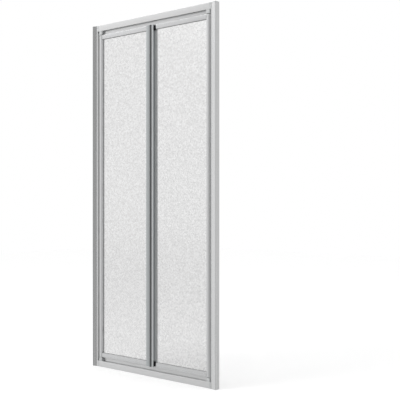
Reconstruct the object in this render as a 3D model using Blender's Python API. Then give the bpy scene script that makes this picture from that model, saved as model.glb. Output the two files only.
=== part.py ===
"""Two-leaf folding shower door in a framed niche, at rest with both leaves shut.

X runs from the pivot jamb (left, seen from outside) to the closing jamb, Y from
the room (minus) into the shower (plus), Z up. The frame stands on z = 0 with its
centre on the origin. The pivot leaf turns about the pivot line at the left jamb,
the sliding leaf hangs on the hinge line between the leaves, and its far edge is
led by two guide blocks that run in the header and in the sill.
"""

import math

import bmesh
import bpy
from mathutils import Matrix, Vector

# Whole door
WIDTH = 0.904
HEIGHT = 1.900
DEPTH = 0.032
GAP = 0.0003
RUNNING_GAP = 0.0001

# Wall channels, whose front splays out towards the wall
CHANNEL_SKIN = 0.0017
CHANNEL_REACH = 0.025
CHANNEL_ROUND = 0.0012
CAP_THICK = 0.0015

# Jambs, measured from the wall, and the plane of the frame behind the channels' front
FRAME_RECESS = 0.007
JAMB_START = 0.006
JAMB_END = 0.035
JAMB_SKIN = 0.0018
JAMB_ROUND = 0.0010

# Header and sill, measured from the top or the floor
FASCIA_HEIGHT = 0.0325
FASCIA_SKIN = 0.0027
TRACK_SKIN = 0.0020
TRACK_WIDTH = 0.0106
TRACK_CEILING = 0.014
SKIRT_DROP = 0.020
TRACK_ROUND = 0.0010
SMALL_ROUND = 0.0005
KEY_WIDTH = 0.0110
KEY_LUG_LENGTH = 0.018

# Leaves: their room in the frame and the section of their profiles
PIVOT_EDGE_GAP = 0.011
CLOSING_EDGE_GAP = 0.007
LEAF_CLEARANCE = 0.0015
LEAF_RECESS = 0.0025
LEAF_DEPTH = 0.0185
STILE_WIDTH = 0.024
RAIL_HEIGHT = 0.024
CROWN = 0.0011
RAIL_CROWN = 0.0005
PROFILE_SKIN = 0.0018
LEAF_ROUND = 0.0009

# Glass and the groove that holds it
GROOVE_SETBACK = 0.0065
GROOVE_DEEP = 0.006
GLASS_EDGE_GAP = 0.001
GLASS_THICK = 0.004
GASKET_THICK = 0.0012
GASKET_EDGE_GAP = 0.0015
GASKET_LIP = 0.0014

# Hinge line between the leaves
CENTRE_PROUD = 0.0045
HINGE_PROUD = 0.0005
KNUCKLE_RADIUS = 0.0045
KNUCKLE_BORE = 0.0016
KNUCKLE_LAP = 0.001
TONGUE_THICK = 0.002
A_TONGUE_REACH = 0.0105
B_TONGUE_REACH = 0.0090
MEETING_WIDTH = 0.0287
END_KNUCKLE_LENGTH = 0.300
KNUCKLE_END_GAP = 0.0005
ROD_INSET = 0.001
CENTRE_SEAL_SETBACK = 0.002
CENTRE_SEAL_THICK = 0.002
CENTRE_SEAL_TIP_GAP = 0.0005

# Grip profile on the sliding leaf
GRIP_WEB = 0.0125
GRIP_LIP_WIDTH = 0.0158
GRIP_LIP_THICK = 0.002
GRIP_FLOOR_THICK = 0.002
GRIP_WIDTH = 0.0272
PLUG_INSET = 0.005
PLUG_HEIGHT = 0.0235

# Pins on the pivot line and the guide line, and the blocks that hold them
PIN_INSET = 0.012
PIN_SETBACK = 0.006
PIN_RADIUS = 0.0025
PIN_LENGTH = 0.0255
PIN_TIP_ROOM = 0.004
SHOE_LENGTH = 0.040
SHOE_LAP = 0.005
BLOCK_HEADROOM = 0.003
BLOCK_RUN = 0.0004
BLOCK_SHORT = 0.001
PIVOT_BLOCK_WIDTH = 0.020
GUIDE_BLOCK_WIDTH = 0.023
LOCK_WIDTH = 0.0080
LOCK_TOP_INSET = 0.007
LOCK_BOTTOM_INSET = 0.005

# Seals
SWEEP_CLEARANCE = 0.0011
PIVOT_SEAL_WIDTH = 0.010
PIVOT_SEAL_SETBACK = 0.004
STRIKE_SEAL_THICK = 0.003
STRIKE_SEAL_WIDTH = 0.010
STRIKE_SEAL_SETBACK = 0.005
CLOSING_SEAL_WIDTH = 0.008
CLOSING_SEAL_SETBACK = 0.0035
SEAL_CLEARANCE = 0.0012
SEAL_ROUND = 0.0006

# Screws
WALL_SCREW_INSET = 0.150
WALL_SCREW_OFF_CENTRE = 0.002
WALL_SCREW_SHANK = 0.0021
WALL_SCREW_HOLE = 0.0024
WALL_SCREW_HEAD = 0.0040
WALL_SCREW_HEAD_THICK = 0.0024
CLAMP_SCREW_INSET = 0.350
CLAMP_SCREW_REACH = 0.0155
CLAMP_SCREW_SHANK = 0.0016
CLAMP_SCREW_HOLE = 0.0019
CLAMP_SCREW_HEAD = 0.0034
CLAMP_SCREW_SUNK = 0.0001
CLAMP_SCREW_LENGTH = 0.0045
CUT_PAST = 0.002

# Facets
CORNER_STEPS = 3
CROWN_STEPS = 8
ROUND_STEPS = 24
WELD = 0.000001
SMOOTH_DEGREES = 25

# Places across the door
HALF_WIDTH = WIDTH / 2
JAMB_FACE = HALF_WIDTH - JAMB_END
HEADER_END = JAMB_FACE - KEY_WIDTH
A_OUTER = -JAMB_FACE + PIVOT_EDGE_GAP
A_INNER = A_OUTER + STILE_WIDTH
B_OUTER = JAMB_FACE - CLOSING_EDGE_GAP
B_INNER = B_OUTER - STILE_WIDTH
PIVOT_X = A_OUTER + PIN_INSET
GUIDE_X = B_OUTER - PIN_INSET
HINGE_X = (PIVOT_X + GUIDE_X) / 2
HINGE_SIDE_GAP = math.sqrt((KNUCKLE_RADIUS + GAP) ** 2 - HINGE_PROUD**2)
A_MEET_END = HINGE_X - HINGE_SIDE_GAP
A_MEET_START = A_MEET_END - MEETING_WIDTH
A_SLOT_END = HINGE_X - A_TONGUE_REACH - GAP
B_MEET_START = HINGE_X + HINGE_SIDE_GAP
B_SLOT_END = HINGE_X + B_TONGUE_REACH + GAP
B_BODY_START = B_MEET_START + GRIP_WEB + GAP
GRIP_LIP_END = B_MEET_START + GRIP_LIP_WIDTH
GRIP_END = B_MEET_START + GRIP_WIDTH

# Places through the door
WALL_FRONT = -DEPTH / 2
WALL_BACK = DEPTH / 2
FRAME_FRONT = WALL_FRONT + FRAME_RECESS
FRAME_BACK = WALL_BACK - CHANNEL_SKIN - GAP
CHANNEL_NOSE = FRAME_FRONT - GAP - CHANNEL_SKIN
TRACK_FRONT = FRAME_FRONT + FASCIA_SKIN
TRACK_BACK = TRACK_FRONT + TRACK_WIDTH
LEAF_FRONT = FRAME_FRONT + LEAF_RECESS
LEAF_BACK = LEAF_FRONT + LEAF_DEPTH
CENTRE_FRONT = LEAF_FRONT - CENTRE_PROUD
HINGE_Y = CENTRE_FRONT - HINGE_PROUD
TONGUE_DROP = KNUCKLE_RADIUS - KNUCKLE_LAP
TONGUE_FRONT = HINGE_Y + TONGUE_DROP
TONGUE_BACK = TONGUE_FRONT + TONGUE_THICK
GROOVE_FRONT = LEAF_FRONT + GROOVE_SETBACK
GASKET_BACK = GROOVE_FRONT + GAP + GASKET_THICK
GLASS_FRONT = GASKET_BACK + GAP
GLASS_BACK = GLASS_FRONT + GLASS_THICK
GROOVE_BACK = GLASS_BACK + GAP
GRIP_FLOOR = GROOVE_FRONT - GRIP_FLOOR_THICK
GRIP_LIP_BACK = CENTRE_FRONT + GRIP_LIP_THICK
CHAMBER_FRONT = LEAF_FRONT + CROWN + PROFILE_SKIN
CHAMBER_BACK = LEAF_BACK - PROFILE_SKIN
PIN_Y = LEAF_FRONT + PIN_SETBACK
BLOCK_FRONT = FRAME_FRONT + GAP
CENTRE_SEAL_FRONT = LEAF_BACK - CENTRE_SEAL_SETBACK - CENTRE_SEAL_THICK
PIVOT_SEAL_FRONT = FRAME_FRONT + PIVOT_SEAL_SETBACK
PIVOT_SEAL_BACK = PIVOT_SEAL_FRONT + PIVOT_SEAL_WIDTH
STRIKE_SEAL_FRONT = FRAME_FRONT + STRIKE_SEAL_SETBACK
STRIKE_SEAL_BACK = STRIKE_SEAL_FRONT + STRIKE_SEAL_WIDTH
CLOSING_SEAL_FRONT = LEAF_FRONT + CLOSING_SEAL_SETBACK
CLOSING_SEAL_BACK = CLOSING_SEAL_FRONT + CLOSING_SEAL_WIDTH

# Distances from the top of the header, and alike from the floor
SKIRT_EDGE = FASCIA_HEIGHT + SKIRT_DROP
LEAF_MARGIN = SKIRT_EDGE + LEAF_CLEARANCE
RAIL_EDGE = LEAF_MARGIN + RAIL_HEIGHT
PIN_TIP = LEAF_MARGIN - PIN_LENGTH
BORE_TIP = PIN_TIP - PIN_TIP_ROOM
BLOCK_TOP = TRACK_CEILING + BLOCK_HEADROOM
BLOCK_STEP = FASCIA_HEIGHT + BLOCK_RUN
BLOCK_BOTTOM = SKIRT_EDGE - BLOCK_SHORT
LOCK_TOP = BLOCK_TOP + LOCK_TOP_INSET
LOCK_BOTTOM = BLOCK_BOTTOM - LOCK_BOTTOM_INSET

# Heights
POST_HEIGHT = HEIGHT - CAP_THICK - GAP
LEAF_LOW = LEAF_MARGIN
LEAF_HIGH = HEIGHT - LEAF_MARGIN
WALL_SCREW_HEIGHTS = (WALL_SCREW_INSET, HEIGHT - WALL_SCREW_INSET)
CLAMP_SCREW_HEIGHTS = (CLAMP_SCREW_INSET, HEIGHT - CLAMP_SCREW_INSET)

# Reach of the pivot leaf's rear corner as it turns, which the pivot seal keeps clear of
GLASS_BITE = GROOVE_DEEP - GLASS_EDGE_GAP
GASKET_BITE = GROOVE_DEEP - GASKET_EDGE_GAP
SWEEP_RADIUS = math.hypot(PIN_INSET, LEAF_BACK - PIN_Y)
PIVOT_SEAL_THICK = PIVOT_EDGE_GAP + PIN_INSET - SWEEP_RADIUS - SWEEP_CLEARANCE - GAP
CLOSING_SEAL_THICK = CLOSING_EDGE_GAP - STRIKE_SEAL_THICK - SEAL_CLEARANCE - 2 * GAP


# Scene set-up

for old in list(bpy.data.objects):
    bpy.data.objects.remove(old, do_unlink=True)

part_collection = bpy.data.collections.new("shower_door")
cutter_collection = bpy.data.collections.new("cutters")
bpy.context.scene.collection.children.link(part_collection)
bpy.context.scene.collection.children.link(cutter_collection)


def make_material(name, colour, metallic_share, roughness_share, alpha_share=1.0):
    """A Principled material of one colour."""
    material = bpy.data.materials.new(name)
    material.use_nodes = True
    shader = material.node_tree.nodes["Principled BSDF"]
    shader.inputs["Base Color"].default_value = (*colour, 1.0)
    shader.inputs["Metallic"].default_value = metallic_share
    shader.inputs["Roughness"].default_value = roughness_share
    shader.inputs["Alpha"].default_value = alpha_share
    material.diffuse_color = (*colour, alpha_share)
    return material


SATIN = ((0.73, 0.74, 0.75), 0.9, 0.35)
STEEL = ((0.62, 0.62, 0.63), 1.0, 0.3)
LIGHT_PLASTIC = ((0.80, 0.81, 0.81), 0.0, 0.5)
DARK_PLASTIC = ((0.02, 0.02, 0.02), 0.0, 0.5)
GREY_PLASTIC = ((0.16, 0.17, 0.17), 0.0, 0.55)
GREY_SEAL = ((0.35, 0.36, 0.36), 0.0, 0.7)
DARK_SEAL = ((0.12, 0.12, 0.12), 0.0, 0.7)
GLASS = ((0.86, 0.89, 0.90), 0.0, 0.25)
GLASS_ALPHA_SHARE = 0.35


# Outline helpers

def rounded(corners, steps=CORNER_STEPS):
    """The outline through (a, b, radius) corners, each corner turned into an arc."""
    outline = []
    count = len(corners)
    for index, (a, b, radius) in enumerate(corners):
        here = Vector((a, b))
        before = Vector(corners[index - 1][:2]) - here
        after = Vector(corners[(index + 1) % count][:2]) - here
        if radius == 0:
            outline.append((here.x, here.y))
            continue
        before.normalize()
        after.normalize()
        half_turn = before.angle(after) / 2
        start = here + before * (radius / math.tan(half_turn))
        end = here + after * (radius / math.tan(half_turn))
        middle = here + (before + after).normalized() * (radius / math.sin(half_turn))
        first = start - middle
        sweep = first.angle_signed(end - middle)
        for step in range(steps + 1):
            spoke = first.copy()
            spoke.rotate(Matrix.Rotation(-sweep * step / steps, 2))
            outline.append((middle.x + spoke.x, middle.y + spoke.y))
    return outline


def rectangle(low_a, high_a, low_b, high_b, radius=0.0):
    """A rectangle outline with one corner radius."""
    return rounded(
        [
            (low_a, low_b, radius),
            (high_a, low_b, radius),
            (high_a, high_b, radius),
            (low_a, high_b, radius),
        ]
    )


def circle(centre_a, centre_b, radius, steps=ROUND_STEPS):
    """A round outline."""
    turns = [2 * math.pi * step / steps for step in range(steps)]
    return [
        (centre_a + radius * math.cos(turn), centre_b + radius * math.sin(turn))
        for turn in turns
    ]


def crown(low_a, high_a, edge_b, rise):
    """Corner points of a gently arched front, from low_a to high_a."""
    points = []
    for step in range(CROWN_STEPS + 1):
        share = step / CROWN_STEPS
        lift = rise * (1 - (2 * share - 1) ** 2)
        points.append((low_a + (high_a - low_a) * share, edge_b - lift, 0.0))
    return points


def mirrored(outline):
    """The outline on the other side of the middle plane."""
    return [(-a, b) for a, b in reversed(outline)]


# Solid helpers

TURNS = {
    "Z": Matrix.Identity(4),
    "X": Matrix(((0, 0, 1, 0), (1, 0, 0, 0), (0, 1, 0, 0), (0, 0, 0, 1))),
    "Y": Matrix(((0, 1, 0, 0), (0, 0, 1, 0), (1, 0, 0, 0), (0, 0, 0, 1))),
}


def dress(piece, look, holder):
    """Files the piece as a part with its material, or as a cutter where look is None."""
    if look is None:
        cutter_collection.objects.link(piece)
        piece.hide_render = True
        piece.display_type = "WIRE"
        return
    part_collection.objects.link(piece)
    alpha_share = GLASS_ALPHA_SHARE if look is GLASS else 1.0
    piece.data.materials.clear()
    piece.data.materials.append(make_material(piece.name, *look, alpha_share))
    piece.data.shade_smooth()
    piece.data.set_sharp_from_angle(angle=math.radians(SMOOTH_DEGREES))
    if holder is not None:
        hang(piece, holder)


def solid(name, outlines, low, high, look=None, along="Z", holder=None):
    """An extrusion of the outlines (the first one filled, the rest hollow).

    along Z takes (x, y) outlines, along X takes (y, z) outlines and along Y takes
    (z, x) outlines. The extrusion runs from low to high.
    """
    curve = bpy.data.curves.new(name + "_outline", "CURVE")
    curve.dimensions = "2D"
    curve.fill_mode = "BOTH"
    curve.extrude = (high - low) / 2
    for outline in outlines:
        spline = curve.splines.new("POLY")
        spline.points.add(len(outline) - 1)
        for point, (a, b) in zip(spline.points, outline):
            point.co = (a, b, 0.0, 1.0)
        spline.use_cyclic_u = True
    drawn = bpy.data.objects.new(name + "_drawn", curve)
    part_collection.objects.link(drawn)
    graph = bpy.context.evaluated_depsgraph_get()
    mesh = bpy.data.meshes.new_from_object(drawn.evaluated_get(graph))
    bpy.data.objects.remove(drawn, do_unlink=True)
    bpy.data.curves.remove(curve)
    mesh.transform(TURNS[along] @ Matrix.Translation((0, 0, (low + high) / 2)))
    shape = bmesh.new()
    shape.from_mesh(mesh)
    bmesh.ops.remove_doubles(shape, verts=shape.verts, dist=WELD)
    bmesh.ops.recalc_face_normals(shape, faces=shape.faces)
    shape.to_mesh(mesh)
    shape.free()
    mesh.name = name
    piece = bpy.data.objects.new(name, mesh)
    dress(piece, look, holder)
    return piece


def box(name, across, through, up, look=None, holder=None):
    """A box between two values of x, two of y and two of z."""
    spans = [sorted(span) for span in (across, through, up)]
    middle = Matrix.Translation([(low + high) / 2 for low, high in spans])
    size = Matrix.Diagonal([high - low for low, high in spans] + [1.0])
    mesh = bpy.data.meshes.new(name)
    shape = bmesh.new()
    bmesh.ops.create_cube(shape, size=1.0, matrix=middle @ size)
    shape.to_mesh(mesh)
    shape.free()
    piece = bpy.data.objects.new(name, mesh)
    dress(piece, look, holder)
    return piece


def cylinder(name, centre, radius, ends, look=None, along="Z", holder=None):
    """A round bar between its ends, with its centre placed as an outline of solid is."""
    low, high = sorted(ends)
    mesh = bpy.data.meshes.new(name)
    shape = bmesh.new()
    bmesh.ops.create_cone(
        shape,
        cap_ends=True,
        segments=ROUND_STEPS,
        radius1=radius,
        radius2=radius,
        depth=high - low,
        matrix=TURNS[along] @ Matrix.Translation((*centre, (low + high) / 2)),
    )
    shape.to_mesh(mesh)
    shape.free()
    piece = bpy.data.objects.new(name, mesh)
    dress(piece, look, holder)
    return piece


def combine(piece, others, operation):
    """Cuts the other solids from the piece in one step, or joins them on."""
    group = bpy.data.collections.new(f"{operation.lower()}_{piece.name}")
    cutter_collection.children.link(group)
    for other in others:
        cutter_collection.objects.unlink(other)
        group.objects.link(other)
    modifier = piece.modifiers.new(group.name, "BOOLEAN")
    modifier.operation = operation
    modifier.solver = "EXACT"
    modifier.operand_type = "COLLECTION"
    modifier.collection = group


def hang(piece, holder):
    """Parents the piece to an empty on its joint axis, leaving it where it is."""
    piece.parent = holder
    piece.matrix_parent_inverse = Matrix.Translation(-holder.location)


def joint_empty(name, x, y):
    """An empty on an upright joint axis."""
    empty = bpy.data.objects.new(name, None)
    empty.location = (x, y, 0.0)
    part_collection.objects.link(empty)
    return empty


leaf_a = joint_empty("leaf_a_pivot_line", PIVOT_X, PIN_Y)
leaf_b = joint_empty("leaf_b_hinge_line", HINGE_X, HINGE_Y)
guide_line = joint_empty("guide_line", GUIDE_X, PIN_Y)


# Frame: wall channels, caps and jambs

channel_left = rounded(
    [
        (-HALF_WIDTH, WALL_FRONT, CHANNEL_ROUND),
        (-HALF_WIDTH + CHANNEL_REACH, CHANNEL_NOSE, SMALL_ROUND),
        (-HALF_WIDTH + CHANNEL_REACH, CHANNEL_NOSE + CHANNEL_SKIN, SMALL_ROUND),
        (-HALF_WIDTH + CHANNEL_SKIN, WALL_FRONT + CHANNEL_SKIN, 0.0),
        (-HALF_WIDTH + CHANNEL_SKIN, WALL_BACK - CHANNEL_SKIN, 0.0),
        (-HALF_WIDTH + CHANNEL_REACH, WALL_BACK - CHANNEL_SKIN, SMALL_ROUND),
        (-HALF_WIDTH + CHANNEL_REACH, WALL_BACK, SMALL_ROUND),
        (-HALF_WIDTH, WALL_BACK, CHANNEL_ROUND),
    ]
)
cap_left = rounded(
    [
        (-HALF_WIDTH, WALL_FRONT, CHANNEL_ROUND),
        (-HALF_WIDTH + CHANNEL_REACH, CHANNEL_NOSE, SMALL_ROUND),
        (-HALF_WIDTH + CHANNEL_REACH, FRAME_FRONT, 0.0),
        (-HALF_WIDTH + JAMB_END, FRAME_FRONT, JAMB_ROUND),
        (-HALF_WIDTH + JAMB_END, FRAME_BACK, JAMB_ROUND),
        (-HALF_WIDTH + CHANNEL_REACH, FRAME_BACK, 0.0),
        (-HALF_WIDTH + CHANNEL_REACH, WALL_BACK, SMALL_ROUND),
        (-HALF_WIDTH, WALL_BACK, CHANNEL_ROUND),
    ]
)
jamb_left = rectangle(
    -HALF_WIDTH + JAMB_START, -JAMB_FACE, FRAME_FRONT, FRAME_BACK, JAMB_ROUND
)
jamb_left_hollow = rectangle(
    -HALF_WIDTH + JAMB_START + JAMB_SKIN,
    -JAMB_FACE - JAMB_SKIN,
    FRAME_FRONT + JAMB_SKIN,
    FRAME_BACK - JAMB_SKIN,
)

channels = {}
jambs = {}
for side, turn_over in (("left", list), ("right", mirrored)):
    channels[side] = solid(
        "wall_channel_" + side, [turn_over(channel_left)], 0.0, POST_HEIGHT, SATIN
    )
    jambs[side] = solid(
        "jamb_" + side,
        [turn_over(jamb_left), turn_over(jamb_left_hollow)],
        0.0,
        POST_HEIGHT,
        SATIN,
    )
    solid(
        "channel_cap_" + side,
        [turn_over(cap_left)],
        HEIGHT - CAP_THICK,
        HEIGHT,
        LIGHT_PLASTIC,
    )


# Frame: screws to the wall, and screws that clamp channel to jamb

for side, sign in (("left", -1), ("right", 1)):
    wall = sign * HALF_WIDTH
    web = sign * (HALF_WIDTH - CHANNEL_SKIN)
    seat = web - sign * GAP
    channel_holes = []
    jamb_holes = []
    for number, height in enumerate(WALL_SCREW_HEIGHTS, 1):
        name = f"wall_screw_{side}_{number}"
        centre = (WALL_SCREW_OFF_CENTRE, height)
        hole = cylinder(
            name + "_hole",
            centre,
            WALL_SCREW_HOLE,
            (wall + sign * CUT_PAST, web - sign * CUT_PAST),
            along="X",
        )
        channel_holes.append(hole)
        screw = cylinder(
            name,
            centre,
            WALL_SCREW_HEAD,
            (seat, seat - sign * WALL_SCREW_HEAD_THICK),
            STEEL,
            along="X",
        )
        shank = cylinder(
            name + "_shank",
            centre,
            WALL_SCREW_SHANK,
            (wall - sign * GAP, seat - sign * WALL_SCREW_HEAD_THICK / 2),
            along="X",
        )
        combine(screw, [shank], "UNION")
    for number, height in enumerate(CLAMP_SCREW_HEIGHTS, 1):
        name = f"clamp_screw_{side}_{number}"
        centre = (height, sign * (HALF_WIDTH - CLAMP_SCREW_REACH))
        head = (FRAME_BACK + GAP, WALL_BACK - CLAMP_SCREW_SUNK)
        channel_hole = cylinder(
            name + "_channel_hole",
            centre,
            CLAMP_SCREW_HEAD + GAP,
            (FRAME_BACK + GAP / 2, WALL_BACK + CUT_PAST),
            along="Y",
        )
        channel_holes.append(channel_hole)
        jamb_hole = cylinder(
            name + "_jamb_hole",
            centre,
            CLAMP_SCREW_HOLE,
            (FRAME_BACK - JAMB_SKIN - CUT_PAST, FRAME_BACK + CUT_PAST),
            along="Y",
        )
        jamb_holes.append(jamb_hole)
        screw = cylinder(name, centre, CLAMP_SCREW_HEAD, head, STEEL, along="Y")
        shank = cylinder(
            name + "_shank",
            centre,
            CLAMP_SCREW_SHANK,
            (FRAME_BACK - CLAMP_SCREW_LENGTH, sum(head) / 2),
            along="Y",
        )
        combine(screw, [shank], "UNION")
    combine(channels[side], channel_holes, "DIFFERENCE")
    combine(jambs[side], jamb_holes, "DIFFERENCE")


# Frame: header and sill, with their corner keys

def track_outline(place):
    """Outer outline of the track profile. place turns a distance from the edge into z."""
    return rounded(
        [
            (FRAME_FRONT, place(0.0), TRACK_ROUND),
            (FRAME_BACK, place(0.0), TRACK_ROUND),
            (FRAME_BACK, place(FASCIA_HEIGHT), SMALL_ROUND),
            (TRACK_BACK + TRACK_SKIN, place(FASCIA_HEIGHT), 0.0),
            (TRACK_BACK + TRACK_SKIN, place(SKIRT_EDGE), SMALL_ROUND),
            (TRACK_BACK, place(SKIRT_EDGE), SMALL_ROUND),
            (TRACK_BACK, place(TRACK_CEILING), 0.0),
            (TRACK_FRONT, place(TRACK_CEILING), 0.0),
            (TRACK_FRONT, place(FASCIA_HEIGHT), SMALL_ROUND),
            (FRAME_FRONT, place(FASCIA_HEIGHT), TRACK_ROUND),
        ]
    )


def from_top(distance):
    return HEIGHT - distance


def from_floor(distance):
    return distance


for name, end, place in (("header", "top", from_top), ("sill", "bottom", from_floor)):
    near_chamber = rectangle(
        FRAME_FRONT + TRACK_SKIN,
        FRAME_BACK - TRACK_SKIN,
        *sorted((place(TRACK_SKIN), place(TRACK_CEILING - TRACK_SKIN))),
    )
    back_chamber = rectangle(
        TRACK_BACK + TRACK_SKIN,
        FRAME_BACK - TRACK_SKIN,
        *sorted((place(TRACK_CEILING), place(FASCIA_HEIGHT - TRACK_SKIN))),
    )
    solid(
        name,
        [track_outline(place), near_chamber, back_chamber],
        -HEADER_END,
        HEADER_END,
        SATIN,
        along="X",
    )
    for side, sign in (("left", -1), ("right", 1)):
        ends = sorted((sign * (HEADER_END + GAP), sign * (JAMB_FACE - GAP)))
        key = solid(
            f"corner_key_{end}_{side}",
            [track_outline(place)],
            *ends,
            LIGHT_PLASTIC,
            along="X",
        )
        lug = box(
            f"corner_key_{end}_{side}_lug",
            (sign * (HEADER_END - KEY_LUG_LENGTH), sign * (HEADER_END + KEY_WIDTH / 2)),
            (FRAME_FRONT + TRACK_SKIN + GAP, FRAME_BACK - TRACK_SKIN - GAP),
            (place(TRACK_SKIN + GAP), place(TRACK_CEILING - TRACK_SKIN - GAP)),
        )
        combine(key, [lug], "UNION")


# Pivot blocks in the track, the locks beside them, and the guide blocks that slide

def block_outline(place, back):
    """The outline of a block that fills the track and comes out under its fascia."""
    return rounded(
        [
            (TRACK_FRONT + GAP, place(BLOCK_TOP), SMALL_ROUND),
            (back, place(BLOCK_TOP), SMALL_ROUND),
            (back, place(BLOCK_BOTTOM), SMALL_ROUND),
            (BLOCK_FRONT, place(BLOCK_BOTTOM), TRACK_ROUND),
            (BLOCK_FRONT, place(BLOCK_STEP), SMALL_ROUND),
            (TRACK_FRONT + GAP, place(BLOCK_STEP), 0.0),
        ]
    )


for end, place in (("top", from_top), ("bottom", from_floor)):
    for name, middle, width, holder in (
        ("pivot_block_", PIVOT_X, PIVOT_BLOCK_WIDTH, None),
        ("guide_block_", GUIDE_X, GUIDE_BLOCK_WIDTH, guide_line),
    ):
        block = solid(
            name + end,
            [block_outline(place, TRACK_BACK - GAP)],
            middle - width / 2,
            middle + width / 2,
            LIGHT_PLASTIC,
            along="X",
            holder=holder,
        )
        bore = cylinder(
            name + end + "_bore",
            (middle, PIN_Y),
            PIN_RADIUS + RUNNING_GAP,
            (place(BORE_TIP), place(BLOCK_BOTTOM + CUT_PAST)),
        )
        combine(block, [bore], "DIFFERENCE")
    lock_start = PIVOT_X + PIVOT_BLOCK_WIDTH / 2 + GAP
    solid(
        "pivot_lock_" + end,
        [
            rectangle(
                TRACK_FRONT + GAP,
                TRACK_BACK - GAP,
                *sorted((place(LOCK_TOP), place(LOCK_BOTTOM))),
                SMALL_ROUND,
            )
        ],
        lock_start,
        lock_start + LOCK_WIDTH,
        GREY_PLASTIC,
        along="X",
    )


# Seals on the jambs and on the closing edge

solid(
    "pivot_seal",
    [
        rectangle(
            -JAMB_FACE + GAP,
            -JAMB_FACE + GAP + PIVOT_SEAL_THICK,
            PIVOT_SEAL_FRONT,
            PIVOT_SEAL_BACK,
            SEAL_ROUND,
        )
    ],
    LEAF_LOW,
    LEAF_HIGH,
    GREY_SEAL,
)
solid(
    "strike_seal",
    [
        rectangle(
            JAMB_FACE - GAP - STRIKE_SEAL_THICK,
            JAMB_FACE - GAP,
            STRIKE_SEAL_FRONT,
            STRIKE_SEAL_BACK,
            SEAL_ROUND,
        )
    ],
    LEAF_LOW,
    LEAF_HIGH,
    GREY_SEAL,
)
solid(
    "closing_seal",
    [
        rectangle(
            B_OUTER + GAP,
            B_OUTER + GAP + CLOSING_SEAL_THICK,
            CLOSING_SEAL_FRONT,
            CLOSING_SEAL_BACK,
            SEAL_ROUND,
        )
    ],
    LEAF_LOW,
    LEAF_HIGH,
    GREY_SEAL,
    holder=leaf_b,
)


# Leaf stiles

def outer_stile(outer, inner, direction):
    """Outline of the outer stile of a leaf, arched in front, grooved on its inner side.

    direction is +1 where the inner side faces +X.
    """
    low, high = sorted((outer, inner))
    front = crown(low, high, LEAF_FRONT + CROWN, CROWN)
    groove = [
        (inner, LEAF_BACK, LEAF_ROUND),
        (outer, LEAF_BACK, LEAF_ROUND),
    ]
    slot = [
        (inner, GROOVE_FRONT, SMALL_ROUND),
        (inner - direction * GROOVE_DEEP, GROOVE_FRONT, 0.0),
        (inner - direction * GROOVE_DEEP, GROOVE_BACK, 0.0),
        (inner, GROOVE_BACK, SMALL_ROUND),
    ]
    if direction > 0:
        return rounded(front + slot + groove)
    return rounded(front + list(reversed(groove)) + list(reversed(slot)))


def hollow(low, high, front, back):
    return rectangle(low, high, front, back, SMALL_ROUND)


chamber_a = (A_OUTER + PROFILE_SKIN, A_INNER - GROOVE_DEEP - PROFILE_SKIN)
solid(
    "stile_a_pivot",
    [outer_stile(A_OUTER, A_INNER, 1), hollow(*chamber_a, CHAMBER_FRONT, CHAMBER_BACK)],
    LEAF_LOW,
    LEAF_HIGH,
    SATIN,
    holder=leaf_a,
)
chamber_b = (B_INNER + GROOVE_DEEP + PROFILE_SKIN, B_OUTER - PROFILE_SKIN)
solid(
    "stile_b_closing",
    [outer_stile(B_OUTER, B_INNER, -1), hollow(*chamber_b, CHAMBER_FRONT, CHAMBER_BACK)],
    LEAF_LOW,
    LEAF_HIGH,
    SATIN,
    holder=leaf_b,
)

meeting_front = crown(A_MEET_START, A_MEET_END, CENTRE_FRONT + CROWN, CROWN)
stile_a_meeting = rounded(
    meeting_front
    + [
        (A_MEET_END, TONGUE_FRONT - GAP, 0.0),
        (A_SLOT_END, TONGUE_FRONT - GAP, 0.0),
        (A_SLOT_END, TONGUE_BACK + GAP, 0.0),
        (A_MEET_END, TONGUE_BACK + GAP, 0.0),
        (A_MEET_END, LEAF_BACK, LEAF_ROUND),
        (A_MEET_START, LEAF_BACK, LEAF_ROUND),
        (A_MEET_START, GROOVE_BACK, SMALL_ROUND),
        (A_MEET_START + GROOVE_DEEP, GROOVE_BACK, 0.0),
        (A_MEET_START + GROOVE_DEEP, GROOVE_FRONT, 0.0),
        (A_MEET_START, GROOVE_FRONT, SMALL_ROUND),
    ]
)
solid(
    "stile_a_meeting",
    [
        stile_a_meeting,
        hollow(
            A_MEET_START + GROOVE_DEEP + PROFILE_SKIN,
            A_SLOT_END - PROFILE_SKIN,
            CENTRE_FRONT + CROWN + PROFILE_SKIN,
            CHAMBER_BACK,
        ),
    ],
    LEAF_LOW,
    LEAF_HIGH,
    SATIN,
    holder=leaf_a,
)

grip_profile = rounded(
    [
        (B_MEET_START, CENTRE_FRONT, SMALL_ROUND),
        (GRIP_LIP_END, CENTRE_FRONT, LEAF_ROUND),
        (GRIP_LIP_END, GRIP_LIP_BACK, LEAF_ROUND),
        (B_MEET_START + GRIP_WEB, GRIP_LIP_BACK, 0.0),
        (B_MEET_START + GRIP_WEB, LEAF_BACK, SMALL_ROUND),
        (B_MEET_START, LEAF_BACK, SMALL_ROUND),
        (B_MEET_START, TONGUE_BACK + GAP, 0.0),
        (B_SLOT_END, TONGUE_BACK + GAP, 0.0),
        (B_SLOT_END, TONGUE_FRONT - GAP, 0.0),
        (B_MEET_START, TONGUE_FRONT - GAP, 0.0),
    ]
)
solid("grip_profile", [grip_profile], LEAF_LOW, LEAF_HIGH, SATIN, holder=leaf_b)

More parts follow.
